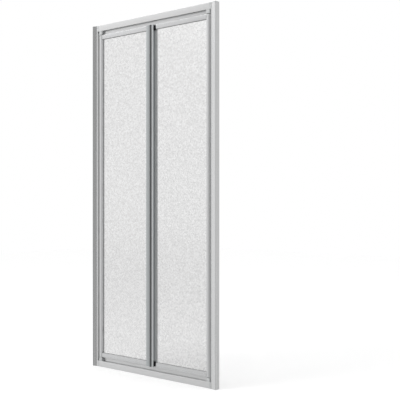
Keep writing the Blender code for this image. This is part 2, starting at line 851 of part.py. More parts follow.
stile_b_meeting = rounded(
    [
        (B_BODY_START, GRIP_FLOOR, SMALL_ROUND),
        (GRIP_END, GRIP_FLOOR, SMALL_ROUND),
        (GRIP_END, GROOVE_FRONT, 0.0),
        (GRIP_END - GROOVE_DEEP, GROOVE_FRONT, 0.0),
        (GRIP_END - GROOVE_DEEP, GROOVE_BACK, 0.0),
        (GRIP_END, GROOVE_BACK, SMALL_ROUND),
        (GRIP_END, LEAF_BACK, LEAF_ROUND),
        (B_BODY_START, LEAF_BACK, SMALL_ROUND),
    ]
)
solid(
    "stile_b_meeting",
    [
        stile_b_meeting,
        hollow(
            B_BODY_START + PROFILE_SKIN,
            GRIP_END - GROOVE_DEEP - PROFILE_SKIN,
            GRIP_FLOOR + PROFILE_SKIN,
            CHAMBER_BACK,
        ),
    ],
    LEAF_LOW,
    LEAF_HIGH,
    SATIN,
    holder=leaf_b,
)

plug_outline = rounded(
    [
        (B_BODY_START, GRIP_LIP_BACK + GAP, 0.0),
        (GRIP_LIP_END + GAP, GRIP_LIP_BACK + GAP, 0.0),
        (GRIP_LIP_END + GAP, CENTRE_FRONT, SMALL_ROUND),
        (GRIP_END, CENTRE_FRONT, LEAF_ROUND),
        (GRIP_END, GRIP_FLOOR - GAP, SMALL_ROUND),
        (B_BODY_START, GRIP_FLOOR - GAP, SMALL_ROUND),
    ]
)
plug_lows = (
    ("top", LEAF_HIGH - PLUG_INSET - PLUG_HEIGHT),
    ("bottom", LEAF_LOW + PLUG_INSET),
)
for end, low in plug_lows:
    solid(
        "grip_plug_" + end,
        [plug_outline],
        low,
        low + PLUG_HEIGHT,
        DARK_PLASTIC,
        holder=leaf_b,
    )


# Leaf rails

leaves = (
    ("a", leaf_a, A_INNER, A_MEET_START),
    ("b", leaf_b, GRIP_END, B_INNER),
)
for leaf, holder, low_x, high_x in leaves:
    for end, place in (("top", from_top), ("bottom", from_floor)):
        front = [
            (b, place(a), radius)
            for a, b, radius in crown(
                LEAF_MARGIN, RAIL_EDGE, LEAF_FRONT + RAIL_CROWN, RAIL_CROWN
            )
        ]
        outline = front + [
            (GROOVE_FRONT, place(RAIL_EDGE), SMALL_ROUND),
            (GROOVE_FRONT, place(RAIL_EDGE - GROOVE_DEEP), 0.0),
            (GROOVE_BACK, place(RAIL_EDGE - GROOVE_DEEP), 0.0),
            (GROOVE_BACK, place(RAIL_EDGE), SMALL_ROUND),
            (LEAF_BACK, place(RAIL_EDGE), LEAF_ROUND),
            (LEAF_BACK, place(LEAF_MARGIN), LEAF_ROUND),
        ]
        chamber = rectangle(
            LEAF_FRONT + RAIL_CROWN + PROFILE_SKIN,
            CHAMBER_BACK,
            *sorted(
                (
                    place(LEAF_MARGIN + PROFILE_SKIN),
                    place(RAIL_EDGE - GROOVE_DEEP - PROFILE_SKIN),
                )
            ),
        )
        solid(
            f"rail_{leaf}_{end}",
            [rounded(outline), chamber],
            low_x + GAP,
            high_x - GAP,
            SATIN,
            along="X",
            holder=holder,
        )
        box(
            f"gasket_{leaf}_{end}",
            (low_x + GASKET_LIP + GAP, high_x - GASKET_LIP - GAP),
            (GROOVE_FRONT + GAP, GASKET_BACK),
            (place(RAIL_EDGE - GASKET_BITE), place(RAIL_EDGE + GASKET_LIP)),
            DARK_SEAL,
            holder=holder,
        )
    for side, edge, sign in (("left", low_x, 1), ("right", high_x, -1)):
        box(
            f"gasket_{leaf}_{side}",
            (edge - sign * GASKET_BITE, edge + sign * GASKET_LIP),
            (GROOVE_FRONT + GAP, GASKET_BACK),
            (RAIL_EDGE - GASKET_BITE, HEIGHT - RAIL_EDGE + GASKET_BITE),
            GREY_SEAL,
            holder=holder,
        )
    box(
        "glass_" + leaf,
        (low_x - GLASS_BITE, high_x + GLASS_BITE),
        (GLASS_FRONT, GLASS_BACK),
        (RAIL_EDGE - GLASS_BITE, HEIGHT - RAIL_EDGE + GLASS_BITE),
        GLASS,
        holder=holder,
    )


# Hinge line between the leaves

def knuckle_outline(direction, reach):
    """A round knuckle with a tongue that slides into the leaf's profile."""
    cut_front = math.sqrt(KNUCKLE_RADIUS**2 - TONGUE_DROP**2)
    start_turn = math.atan2(TONGUE_DROP, direction * cut_front)
    outline = [
        (HINGE_X, TONGUE_BACK),
        (HINGE_X + direction * reach, TONGUE_BACK),
        (HINGE_X + direction * reach, TONGUE_FRONT),
    ]
    end_turn = math.pi / 2 - direction * 2 * math.pi
    for step in range(ROUND_STEPS):
        turn = start_turn + (end_turn - start_turn) * step / ROUND_STEPS
        outline.append(
            (
                HINGE_X + KNUCKLE_RADIUS * math.cos(turn),
                HINGE_Y + KNUCKLE_RADIUS * math.sin(turn),
            )
        )
    return outline


knuckle_bore = circle(HINGE_X, HINGE_Y, KNUCKLE_BORE)
a_knuckle = [knuckle_outline(-1, A_TONGUE_REACH), knuckle_bore]
b_knuckle = [knuckle_outline(1, B_TONGUE_REACH), knuckle_bore]
solid(
    "hinge_knuckle_a_bottom",
    a_knuckle,
    LEAF_LOW,
    LEAF_LOW + END_KNUCKLE_LENGTH,
    GREY_PLASTIC,
    holder=leaf_a,
)
solid(
    "hinge_knuckle_a_top",
    a_knuckle,
    LEAF_HIGH - END_KNUCKLE_LENGTH,
    LEAF_HIGH,
    GREY_PLASTIC,
    holder=leaf_a,
)
solid(
    "hinge_knuckle_b",
    b_knuckle,
    LEAF_LOW + END_KNUCKLE_LENGTH + KNUCKLE_END_GAP,
    LEAF_HIGH - END_KNUCKLE_LENGTH - KNUCKLE_END_GAP,
    GREY_PLASTIC,
    holder=leaf_b,
)
cylinder(
    "hinge_rod",
    (HINGE_X, HINGE_Y),
    KNUCKLE_BORE - RUNNING_GAP,
    (LEAF_LOW + ROD_INSET, LEAF_HIGH - ROD_INSET),
    STEEL,
    holder=leaf_a,
)
solid(
    "centre_seal",
    [
        rectangle(
            A_MEET_END + GAP,
            B_MEET_START - CENTRE_SEAL_TIP_GAP,
            CENTRE_SEAL_FRONT,
            CENTRE_SEAL_FRONT + CENTRE_SEAL_THICK,
            SEAL_ROUND,
        )
    ],
    LEAF_LOW,
    LEAF_HIGH,
    DARK_SEAL,
    holder=leaf_a,
)


# Shoes in the ends of the outer stiles, with the pins that turn in the blocks

for name, middle, chamber, holder in (
    ("pivot_shoe_", PIVOT_X, chamber_a, leaf_a),
    ("guide_shoe_", GUIDE_X, chamber_b, leaf_b),
):
    for end, place in (("top", from_top), ("bottom", from_floor)):
        shoe = solid(
            name + end,
            [
                hollow(
                    chamber[0] + GAP,
                    chamber[1] - GAP,
                    CHAMBER_FRONT + GAP,
                    CHAMBER_BACK - GAP,
                )
            ],
            *sorted((place(LEAF_MARGIN), place(LEAF_MARGIN + SHOE_LENGTH))),
            STEEL,
            holder=holder,
        )
        pin = cylinder(
            name + end + "_pin",
            (middle, PIN_Y),
            PIN_RADIUS,
            (place(PIN_TIP), place(LEAF_MARGIN + SHOE_LAP)),
        )
        combine(shoe, [pin], "UNION")
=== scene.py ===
# %% [markdown]
# # A folding shower door, dressed for its picture
#
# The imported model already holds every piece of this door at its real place: the
# frame, the two leaves and the blocks that lead them. This lesson dresses it. We
# make finer profiles, pebbled panes, seals and screws, give every surface a
# procedural finish, and light the whole like a catalogue picture.

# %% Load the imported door
import math

import bmesh
import bpy
import numpy as np
from mathutils import Matrix, Vector


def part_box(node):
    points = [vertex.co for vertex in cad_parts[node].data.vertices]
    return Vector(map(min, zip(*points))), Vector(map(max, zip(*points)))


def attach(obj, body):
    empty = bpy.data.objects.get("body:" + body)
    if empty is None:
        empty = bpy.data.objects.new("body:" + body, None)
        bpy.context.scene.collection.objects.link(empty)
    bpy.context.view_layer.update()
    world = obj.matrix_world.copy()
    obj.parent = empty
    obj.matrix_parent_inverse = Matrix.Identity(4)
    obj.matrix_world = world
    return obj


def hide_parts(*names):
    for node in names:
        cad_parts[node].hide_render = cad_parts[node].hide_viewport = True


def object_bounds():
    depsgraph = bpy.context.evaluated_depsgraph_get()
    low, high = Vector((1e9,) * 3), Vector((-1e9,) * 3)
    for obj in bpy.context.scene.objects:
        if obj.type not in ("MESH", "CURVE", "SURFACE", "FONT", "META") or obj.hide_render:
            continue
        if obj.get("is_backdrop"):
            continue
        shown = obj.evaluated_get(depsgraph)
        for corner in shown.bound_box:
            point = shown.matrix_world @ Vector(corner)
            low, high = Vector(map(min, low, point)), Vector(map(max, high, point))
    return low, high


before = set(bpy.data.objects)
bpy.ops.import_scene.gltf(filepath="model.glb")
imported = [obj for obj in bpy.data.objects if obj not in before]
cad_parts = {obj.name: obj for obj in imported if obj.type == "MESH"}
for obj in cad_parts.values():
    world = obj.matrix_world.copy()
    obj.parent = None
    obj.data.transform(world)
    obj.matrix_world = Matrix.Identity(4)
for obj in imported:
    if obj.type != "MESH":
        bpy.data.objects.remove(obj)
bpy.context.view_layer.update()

# %% [markdown]
# ## Where we stand
#
# The door is seen from the room, from its right, at the height of its middle. A
# camera that looks level keeps all uprights parallel, as architectural pictures
# do. Its place and focal length were found by fitting the eight outer corners of
# the frame to the picture, so here they are written down.

# %% The camera
CAMERA_PLACE = (3.043, -3.050, 0.928)
CAMERA_TURN = 41.56
CAMERA_LENS = 73.64
SENSOR_WIDTH = 36


def placed(name, data):
    """An object in the scene that shows a mesh, a curve, a lamp or a camera."""
    thing = bpy.data.objects.new(name, data)
    bpy.context.scene.collection.objects.link(thing)
    return thing


camera_data = bpy.data.cameras.new("camera")
camera_data.lens = CAMERA_LENS
camera_data.sensor_width = SENSOR_WIDTH
camera = placed("camera", camera_data)
camera.location = CAMERA_PLACE
camera.rotation_euler = (math.radians(90), 0, math.radians(CAMERA_TURN))
bpy.context.scene.camera = camera
bpy.context.scene.view_settings.view_transform = "Standard"
print("camera", round(math.dist(CAMERA_PLACE, (0, 0, 0.95)), 2), "m from the door")

# %% [markdown]
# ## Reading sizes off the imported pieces
#
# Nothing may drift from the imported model, so a new piece takes its size from the
# box of the node that it stands for. One short helper gives that box as six
# numbers, and another tells afterwards how well the new piece fills it.

# %% The reach of a node


def reach(node):
    """x0, x1, y0, y1, z0, z1 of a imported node, in metres."""
    low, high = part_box(node)
    return low.x, high.x, low.y, high.y, low.z, high.z


def report_fit(piece, node):
    """Prints how far the new piece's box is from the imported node's box."""
    corners = [Vector(corner) for corner in piece.bound_box]
    found = [pick(c[axis] for c in corners) for axis in range(3) for pick in (min, max)]
    off = max(abs(a - b) for a, b in zip(found, reach(node)))
    print(f"{piece.name}: within {off * 1000:.3f} mm of {node}")


print("left stile", [round(value, 4) for value in reach("stile_a_pivot")])

# %% [markdown]
# ## Effects that several finishes share
#
# A finish is more than one colour. Extruded aluminium shows fine lines along its
# length, moulded plastic has a fine grain, every handled surface is a little
# cloudy, and every real edge is slightly round, with a painted highlight that
# makes its colour brighter. Each of these is built once as a node group, and each
# material then uses it with values of its own. The coordinates are object
# coordinates, so a finish stays on its piece when a leaf folds.
#
# The helpers take a number, a colour or another node's output for any input,
# which keeps a tree as short as its idea.

# %% Helpers that wire nodes


def wire(tree, value, socket):
    """Links another node's output to the socket, or sets a plain value."""
    if isinstance(value, bpy.types.NodeSocket):
        tree.links.new(value, socket)
    else:
        socket.default_value = value


def node_in(tree, kind, settings=None, **values):
    """A node with its settings, and its inputs by name (spaces written as _)."""
    node = tree.nodes.new(kind)
    for key, value in (settings or {}).items():
        setattr(node, key, value)
    for key, value in values.items():
        wire(tree, value, node.inputs[key.replace("_", " ")])
    return node


def maths(tree, operation, *values, **settings):
    """The result of a sum, with its values in order."""
    node = node_in(tree, "ShaderNodeMath", {"operation": operation, **settings})
    for value, socket in zip(values, node.inputs):
        wire(tree, value, socket)
    return node.outputs["Value"]


def vectors(tree, operation, first, second, result="Vector"):
    """The result of a sum of two vectors."""
    node = node_in(tree, "ShaderNodeVectorMath", {"operation": operation})
    wire(tree, first, node.inputs[0])
    wire(tree, second, node.inputs[1])
    return node.outputs[result]


def masked(tree, value, none, full):
    """A mask that is 0 where the value is none, and 1 where it is full."""
    ends = {"From_Min": none, "From_Max": full}
    return node_in(tree, "ShaderNodeMapRange", Value=value, **ends).outputs["Result"]


def ranged(tree, mask, low, high):
    """Turns a mask from 0 to 1 into a value from low to high."""
    ends = {"To_Min": low, "To_Max": high}
    return node_in(tree, "ShaderNodeMapRange", Value=mask, **ends).outputs["Result"]


def noise(tree, place, scale, detail, roughness):
    values = {"Scale": scale, "Detail": detail, "Roughness": roughness}
    return node_in(tree, "ShaderNodeTexNoise", Vector=place, **values).outputs["Fac"]


def on_piece(tree):
    return node_in(tree, "ShaderNodeTexCoord").outputs["Object"]


def start_group(name, inputs, **outputs):
    """A shader node group with float inputs {name: default} and typed outputs."""
    group = bpy.data.node_groups.new(name, "ShaderNodeTree")
    new_socket = group.interface.new_socket
    for socket, default in inputs.items():
        made = new_socket(socket, in_out="INPUT", socket_type="NodeSocketFloat")
        made.default_value = default
    for socket, kind in outputs.items():
        new_socket(socket, in_out="OUTPUT", socket_type="NodeSocket" + kind)
    return group, group.nodes.new("NodeGroupInput").outputs


def close_group(group, **results):
    node_in(group, "NodeGroupOutput", **results)
    print(group.name + ":", len(group.nodes), "nodes")


# %% [markdown]
# **Drawn lines.** A profile is pressed through a die, and the die leaves lines
# that run the whole length. Noise stretched a few hundred times along the profile
# gives them. The height feeds a bump and the mask varies the roughness.

# %% The drawn lines group
tree, into = start_group(
    "drawn lines",
    {"Lines per metre": 900.0, "Along X": 1.0, "Along Z": 0.004},
    Height="Float",
    Mask="Float",
)
along = {"X": into["Along X"], "Y": 1.0, "Z": into["Along Z"]}
stretch = node_in(tree, "ShaderNodeCombineXYZ", **along).outputs["Vector"]
scaled = vectors(tree, "MULTIPLY", on_piece(tree), stretch)
lines = noise(tree, scaled, into["Lines per metre"], 2.0, 0.6)
close_group(tree, Height=lines, Mask=masked(tree, lines, 0.3, 0.7))
drawn_lines = tree

# %% [markdown]
# **Clouds.** Anodised metal and moulded plastic are never quite even. A large
# soft noise, a hand's width across, moves colour and gloss by a few percent.

# %% The clouds group
tree, into = start_group("clouds", {"Scale": 9.0, "Contrast": 1.0}, Mask="Float")
cloud = noise(tree, on_piece(tree), into["Scale"], 4.0, 0.55)
centred = maths(tree, "SUBTRACT", cloud, 0.5)
stronger = maths(tree, "MULTIPLY_ADD", centred, into["Contrast"], 0.5, use_clamp=True)
close_group(tree, Mask=stronger)
clouds = tree

# %% [markdown]
# ** Rounded edges and their painted highlight.** The Bevel node looks round a
# corner and gives the normal that a slightly rounded edge would have. Used as the
# normal it makes hard edges catch a thin light, and the angle between it and the
# true normal tells where an edge is, so that the edge's colour can be painted a
# little brighter, a painted highlight along every edge.

# %% The rounded edges group, with its painted highlight mask
tree, into = start_group(
    "edges with painted highlight", {"Radius": 0.0004}, Normal="Vector", Mask="Float"
)
bevel = node_in(tree, "ShaderNodeBevel", {"samples": 4}, Radius=into["Radius"])
rounded_normal = bevel.outputs["Normal"]
true_normal = node_in(tree, "ShaderNodeNewGeometry").outputs["True Normal"]
agreement = vectors(tree, "DOT_PRODUCT", rounded_normal, true_normal, "Value")
# The Mask marks the edges, where the colour gets its painted highlight.
close_group(tree, Normal=rounded_normal, Mask=masked(tree, agreement, 0.995, 0.85))
edges_painted_bright = tree

# %% [markdown]
# **Moulded grain.** Plastic and rubber take the fine eroded grain of their
# mould. A small noise does it, as a height for a bump and as a mask.

# %% The moulded grain group
tree, into = start_group(
    "moulded grain", {"Scale": 1400.0}, Height="Float", Mask="Float"
)
grain = noise(tree, on_piece(tree), into["Scale"], 2.0, 0.7)
close_group(tree, Height=grain, Mask=masked(tree, grain, 0.35, 0.65))
moulded_grain = tree

# %% [markdown]
# ## Materials
#
# Every material is a Principled shader with a colour, a roughness and a normal
# that come from these groups. Values that are the same all over, such as
# Metallic, are set on the shader itself.

# %% Helpers that make a material


def start_material(name, metallic=0.0, ior=1.5):
    material = bpy.data.materials.new(name)
    material.use_nodes = True
    shader = material.node_tree.nodes["Principled BSDF"]
    shader.inputs["Metallic"].default_value = metallic
    shader.inputs["IOR"].default_value = ior
    return material, material.node_tree, shader


def place_group(tree, group, **values):
    """Places a group in a material, and returns its outputs."""
    return node_in(tree, "ShaderNodeGroup", {"node_tree": group}, **values).outputs


def grey(level):
    return (level, level, level)


def blended(tree, low, high, mask):
    """Mixes two colours by a mask, and returns the colour."""
    mix = node_in(tree, "ShaderNodeMix", {"data_type": "RGBA"})
    wire(tree, mask, mix.inputs[0])
    for socket, colour in ((6, low), (7, high)):
        plain = isinstance(colour, tuple)
        wire(tree, (*colour, 1.0) if plain else colour, mix.inputs[socket])
    return mix.outputs[2]


def finish_with(tree, shader, colour, rough, **relief):
    """Wires colour, roughness and a fine relief into the shader."""
    bump = node_in(tree, "ShaderNodeBump", **relief)
    wire(tree, colour, shader.inputs["Base Color"])
    wire(tree, rough, shader.inputs["Roughness"])
    wire(tree, bump.outputs["Normal"], shader.inputs["Normal"])


def finish_with_painted_edges(tree, shader, shades, rough, fine, cloud, edges, **relief):
    """Clouds between two shades, edges painted in a brighter third as a highlight, and a
    fine relief.
    """
    base = blended(tree, shades[0], shades[1], cloud["Mask"])
    base = blended(tree, base, shades[2], edges["Mask"])
    relief.update(Height=fine["Height"], Normal=edges["Normal"])
    finish_with(tree, shader, base, ranged(tree, fine["Mask"], *rough), **relief)


# %% [markdown]
# ### Satin aluminium
#
# The frame is extruded aluminium with a matt anodised skin. It is a metal, but
# its skin is soft and grey rather than mirror-like, so its roughness lies between
# a quarter and a half. The lines run up the posts and along the rails, which is
# why one function makes the material for either direction. On the level profiles
# a lower Metallic lets the skin scatter part of the light as paint does.

# %% Satin aluminium
UPWARDS = (1.0, 0.004)
SIDEWAYS = (0.004, 1.0)
# The clouds run between the first two shares; the third, brighter one is the painted
# highlight on edges.
SATIN_SHADES = (0.955, 1.0, 1.13)
SATIN_SPREAD = 0.07


def satin_aluminium(name, run, tint, gloss, metallic=1.0):
    material, tree, shader = start_material("satin aluminium " + name, metallic)
    shades = [tuple(min(1.0, c * share) for c in tint) for share in SATIN_SHADES]
    finish_with_painted_edges(
        tree,
        shader,
        shades,
        (gloss, gloss + SATIN_SPREAD),
        place_group(tree, drawn_lines, Along_X=run[0], Along_Z=run[1]),
        place_group(tree, clouds, Scale=5.0, Contrast=1.6),
        place_group(tree, edges_painted_bright, Radius=0.0005),
        Strength=0.25,
        Distance=4e-5,
    )
    print("satin:", name)
    return material


# Painted shade in the tints: all of these are one aluminium, but header and sill, rails,
# stiles, the meeting stile and the grip get copies darker than the upright tint, which
# stand in for how the light falls on their faces.
upright_satin = satin_aluminium("upright", UPWARDS, (0.775, 0.78, 0.783), 0.22)
level_satin_shaded = satin_aluminium("level", SIDEWAYS, (0.74, 0.743, 0.745), 0.28, 0.6)
rail_satin_shaded = satin_aluminium("rail", SIDEWAYS, (0.69, 0.695, 0.70), 0.26, 0.72)
stile_satin_shaded = satin_aluminium("stile", UPWARDS, (0.72, 0.725, 0.73), 0.32)
meeting_satin_shaded = satin_aluminium("meeting", UPWARDS, (0.56, 0.585, 0.59), 0.42)
grip_satin_shaded = satin_aluminium("grip", UPWARDS, (0.66, 0.68, 0.685), 0.34)

# %% [markdown]
# ### Plastics and rubbers
#
# Caps, corner pieces and blocks are light grey mouldings, and the plugs of the
# grip are black. Seals are soft grey, and the gasket in the rails is nearly
# black, which paints the shade line along the glass; the same gasket stays grey
# in the stiles. The locks get a grey lighter than the hinge's, painted light
# against the shade under the header. They share one recipe: a colour, a darker
# shade for its clouds, a roughness, and the fineness and depth of the grain. The
# plugs also reflect less than the others, or they would not look black beside
# bright metal.

# %% Moulded plastics and rubbers
MOULDED_SPREAD = 0.06


def moulded(name, colour, shade, roughness, grain_scale, depth, ior=1.5):
    material, tree, shader = start_material(name, ior=ior)
    # The edge colour: the moulding's colour made lighter, a painted highlight on edges.
    edge_painted_bright = tuple(min(1.0, channel * 1.15 + 0.01) for channel in colour)
    finish_with_painted_edges(
        tree,
        shader,
        (shade, colour, edge_painted_bright),
        (roughness - MOULDED_SPREAD, roughness + MOULDED_SPREAD),
        place_group(tree, moulded_grain, Scale=grain_scale),
        place_group(tree, clouds, Scale=22.0, Contrast=1.8),
        place_group(tree, edges_painted_bright, Radius=0.0003),
        Strength=0.35,
        Distance=depth,
    )
    print("moulded:", name)
    return material


light_plastic = moulded(
    "light grey moulding", (0.62, 0.63, 0.63), (0.56, 0.57, 0.575), 0.45, 1500, 4e-5
)
black_plastic = moulded(
    "black moulding", (0.008, 0.008, 0.009), (0.005, 0.005, 0.006), 0.5, 1300, 5e-5, 1.2
)
hinge_plastic = moulded(
    "hinge profile grey", (0.11, 0.115, 0.117), (0.09, 0.095, 0.097), 0.42, 1100, 3e-5
)
# Painted light: a lighter copy of the hinge's dark grey, so the locks do not sink into the
# shade under the header.
lock_plastic_painted_lighter = moulded(
    "lock grey", (0.36, 0.365, 0.37), (0.30, 0.305, 0.31), 0.42, 1100, 3e-5
)
grey_seal = moulded(
    "grey seal", (0.46, 0.465, 0.465), (0.40, 0.405, 0.405), 0.6, 900, 6e-5
)
# Nearly black: used for the centre seal, and for the rail gaskets, where it paints the
# shade line along the glass.
dark_seal_and_shade_line = moulded("dark seal", grey(0.085), grey(0.065), 0.62, 900, 6e-5)

# %% [markdown]
# ### Turned steel
#
# Screws and pins are stainless steel from a lathe. The drawn lines serve again,
# much finer and in no one direction, as the rings of a turned surface.

# %% Turned steel
turned_steel, tree, shader = start_material("turned steel", metallic=1.0)
# The third and lightest grey is the painted highlight on the steel's edges.
finish_with_painted_edges(
    tree,
    shader,
    ((0.50, 0.50, 0.505), grey(0.60), grey(0.74)),
    (0.22, 0.36),
    place_group(tree, drawn_lines, Lines_per_metre=2500.0, Along_X=0.3, Along_Z=0.3),
    place_group(tree, clouds, Scale=60.0, Contrast=2.0),
    place_group(tree, edges_painted_bright, Radius=0.0002),
    Strength=0.3,
    Distance=3e-5,
)
print("steel:", turned_steel.name)

# %% [markdown]
# ### Pebbled glass
#
# The panes are obscure glass: one face is pressed into a field of small pebbles,
# each a few millimetres across, so light comes through and shapes do not. The
# pebbles are real relief in the mesh. The material adds what is finer than the
# mesh and a slight haze, and it paints light into the colour: each pebble gets
# its own lighter or darker grey for the light it passes, and the valleys between
# the pebbles get painted shade, because less light comes straight through there.

# %% Pebbled glass
PEBBLE = 0.007

pebbled_glass, tree, shader = start_material("pebbled glass")
shader.inputs["Transmission Weight"].default_value = 1.0
flat = vectors(tree, "MULTIPLY", on_piece(tree), (1.0, 0.0, 1.0))
cells = node_in(
    tree,
    "ShaderNodeTexVoronoi",
    {"feature": "SMOOTH_F1"},
    Vector=flat,
    Scale=1 / PEBBLE,
    Smoothness=0.35,
).outputs
haze = noise(tree, flat, 120.0, 3.0, 0.6)
# Painted light: each pebble's own grey, from 0.69 to 0.905, stands in for the light it
# passes, and the valleys get painted shade.
each = node_in(tree, "ShaderNodeSeparateColor", Color=cells["Color"]).outputs["Red"]
valley = ranged(tree, masked(tree, cells["Distance"], 0.2, 0.75), 0.0, 0.25)
soft = ranged(tree, masked(tree, haze, 0.3, 0.7), 0.0, 0.25)
base = blended(tree, grey(0.69), grey(0.905), each)
base = blended(tree, base, grey(0.70), valley)
base = blended(tree, base, grey(0.86), soft)
rough = ranged(tree, haze, 0.16, 0.30)
relief = {"Strength": 0.35, "Distance": 0.0004, "Height": cells["Distance"]}
finish_with(tree, shader, base, rough, **relief)
print("glass:", pebbled_glass.name)

# %% [markdown]
# ## Outlines of profiles
#
# Nearly everything here is a profile: one outline, drawn through a die and cut to
# length. An outline is a list of corners. `rounded` turns corners into arcs,
# `crown` gives the gently arched front of a stile, `chamber` is a hollow inside,
# `notch` is a groove or a slot, and `flipped` lays an outline on its side.

# %% Outline helpers
CHAMBER_ROUND = 0.0004


def rounded(corners, steps=6):
    """The outline: corners (a, b) stay sharp, and (a, b, radius) become arcs."""
    outline = []
    for index, (a, b, *radius) in enumerate(corners):
        if not radius:
            outline.append((a, b))
            continue
        here = Vector((a, b))
        before = (Vector(corners[index - 1][:2]) - here).normalized()
        after = (Vector(corners[(index + 1) % len(corners)][:2]) - here).normalized()
        half_turn = before.angle(after) / 2
        start = here + before * (radius[0] / math.tan(half_turn))
        end = here + after * (radius[0] / math.tan(half_turn))
        between = (before + after).normalized()
        middle = here + between * (radius[0] / math.sin(half_turn))
        sweep = (start - middle).angle_signed(end - middle)
        for step in range(steps + 1):
            spoke = start - middle
            spoke.rotate(Matrix.Rotation(-sweep * step / steps, 2))
            outline.append((middle.x + spoke.x, middle.y + spoke.y))
    return outline


def crown(start, end, top, rise, steps=24):
    """Corners of an arched front that rises from its two edges up to top."""
    points = []
    for step in range(steps + 1):
        share = step / steps
        lift = rise * (1 - (2 * share - 1) ** 2)
        points.append((start + (end - start) * share, top + rise - lift))
    return points


def chamber(a0, a1, b0, b1):
    """A hollow between two values across and two values up, in any order."""
    (a0, a1), (b0, b1) = sorted((a0, a1)), sorted((b0, b1))
    return [(a, b, CHAMBER_ROUND) for a, b in ((a0, b0), (a1, b0), (a1, b1), (a0, b1))]


def notch(mouth, deep, front, back, *lip_round):
    """A notch from its front lip to its back lip, with sharp or rounded lips."""
    inside = [(deep, front), (deep, back)]
    return [(mouth, front, *lip_round), *inside, (mouth, back, *lip_round)]


def flipped(corners):
    return [(b, a, *radius) for a, b, *radius in corners]


def turned(outline):
    """The outline in the counter-clockwise direction."""
    following = outline[1:] + outline[:1]
    area = sum(a0 * b1 - a1 * b0 for (a0, b0), (a1, b1) in zip(outline, following))
    return outline if area > 0 else outline[::-1]


print("a chamber has", len(rounded(chamber(0, 0.01, 0, 0.01))), "points")

# %% [markdown]
# ## From outline to profile
#
# Blender's 2D curve fills an outline, leaves its holes open and extrudes it, and
# its bevel breaks the sharp edge of the saw cut at both ends. The curve's offset
# takes back what the bevel adds, so the profile keeps its size. Holes run the
# other way round, which is how the curve knows its inside.
#
# `filed` puts any new piece into the scene: it sets the material, lets the piece
# ride on its body, and says which node it stands for.
# `profile` makes and files a profile as long as its node, named after the node.

# %% The profile helper
CUT_EDGE = 0.00015
WELD = 0.000002
TURNS = {
    "Z": Matrix.Identity(4),
    "X": Matrix(((0, 0, 1, 0), (1, 0, 0, 0), (0, 1, 0, 0), (0, 0, 0, 1))),
}


def shaded(mesh, sharp_from):
    """Smooth shading, with edges kept sharp from an angle in degrees."""
    mesh.shade_smooth()
    mesh.set_sharp_from_angle(angle=math.radians(sharp_from))
    return mesh


def taken_from(thing):
    """The mesh that an object shows with its modifiers. The object goes."""
    graph = bpy.context.evaluated_depsgraph_get()
    mesh = bpy.data.meshes.new_from_object(thing.evaluated_get(graph))
    bpy.data.objects.remove(thing, do_unlink=True)
    return mesh


def filed(name, mesh, node, body, material):
    mesh.materials.clear()
    mesh.materials.append(material)
    piece = placed(name, mesh)
    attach(piece, body)
    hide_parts(node)
    report_fit(piece, node)


def profile_mesh(name, outlines, low, high, along, edge):
    """A mesh: the first outline filled and the others left open, from low to high."""
    curve = bpy.data.curves.new(name + "_outline", "CURVE")
    curve.dimensions = "2D"
    curve.fill_mode = "BOTH"
    curve.extrude = (high - low) / 2 - edge
    curve.bevel_depth = edge
    curve.bevel_resolution = 0
    curve.offset = -edge
    for number, outline in enumerate(outlines):
        outline = turned(outline)
        if number:
            outline = outline[::-1]
        spline = curve.splines.new("POLY")
        spline.points.add(len(outline) - 1)
        for point, (a, b) in zip(spline.points, outline):
            point.co = (a, b, 0.0, 1.0)
        spline.use_cyclic_u = True
    mesh = taken_from(placed(name + "_drawn", curve))
    bpy.data.curves.remove(curve)
    mesh.transform(TURNS[along] @ Matrix.Translation((0, 0, (low + high) / 2)))
    shape = bmesh.new()
    shape.from_mesh(mesh)
    bmesh.ops.remove_doubles(shape, verts=shape.verts, dist=WELD)
    bmesh.ops.recalc_face_normals(shape, faces=shape.faces)
    shape.to_mesh(mesh)
    shape.free()
    mesh.name = name
    return shaded(mesh, sharp_from=28)


def profile(node, ending, parts, body, material, along="Z", edge=CUT_EDGE, steps=6):
    """A profile from lists of corners, named after its node."""
    box = reach(node)
    low, high = box[4:] if along == "Z" else box[:2]
    outlines = [rounded(corners, steps) for corners in parts]
    mesh = profile_mesh(node + ending, outlines, low, high, along, edge)
    filed(node + ending, mesh, node, body, material)


# %% [markdown]
# ## Wall channels and jambs
#
# A channel is screwed to each wall, and a box-shaped jamb slides in it until the
# frame is square. Both are plain flat-faced profiles with round holes, and the
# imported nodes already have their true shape, so they stay and only get their
# finish. The corner keys, blocks and shoes stay too.

# %% Finish the pieces that stay
staying = {
    upright_satin: ("wall_channel", "jamb"),
    light_plastic: ("corner_key", "pivot_block", "guide_block"),
    turned_steel: ("pivot_shoe", "guide_shoe"),
}
for material, kinds in staying.items():
    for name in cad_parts:
        if name.startswith(kinds):
            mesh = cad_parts[name].data
            mesh.materials.clear()
            mesh.materials.append(material)
            print(name, "keeps its shape and gets", material.name)

# %% [markdown]
# ## The numbers that the profiles share
#
# All leaf profiles hold the glass in the same groove, and the header and the sill
# are one profile used twice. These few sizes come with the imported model's section;
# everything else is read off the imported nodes.

# %% Shared sizes of the sections
GROOVE_FRONT = 0.0
GROOVE_BACK = 0.0061
GROOVE_DEEP = 0.006
SKIN = 0.0018
SMALL_ROUND = 0.0005
LEAF_ROUND = 0.0009
STILE_CROWN = 0.0011
RAIL_CROWN = 0.0005
RAIL_ROUND = 0.0025

FASCIA_HEIGHT = 0.0325
LIP_DROP = 0.020
TRACK_FRONT_IN = 0.0027
TRACK_WIDTH = 0.0106
TRACK_SKIN = 0.0020
TRACK_CEILING = 0.014
TRACK_ROUND = 0.0010

SIDES = ("left", "right")
ENDS = ("top", "bottom")


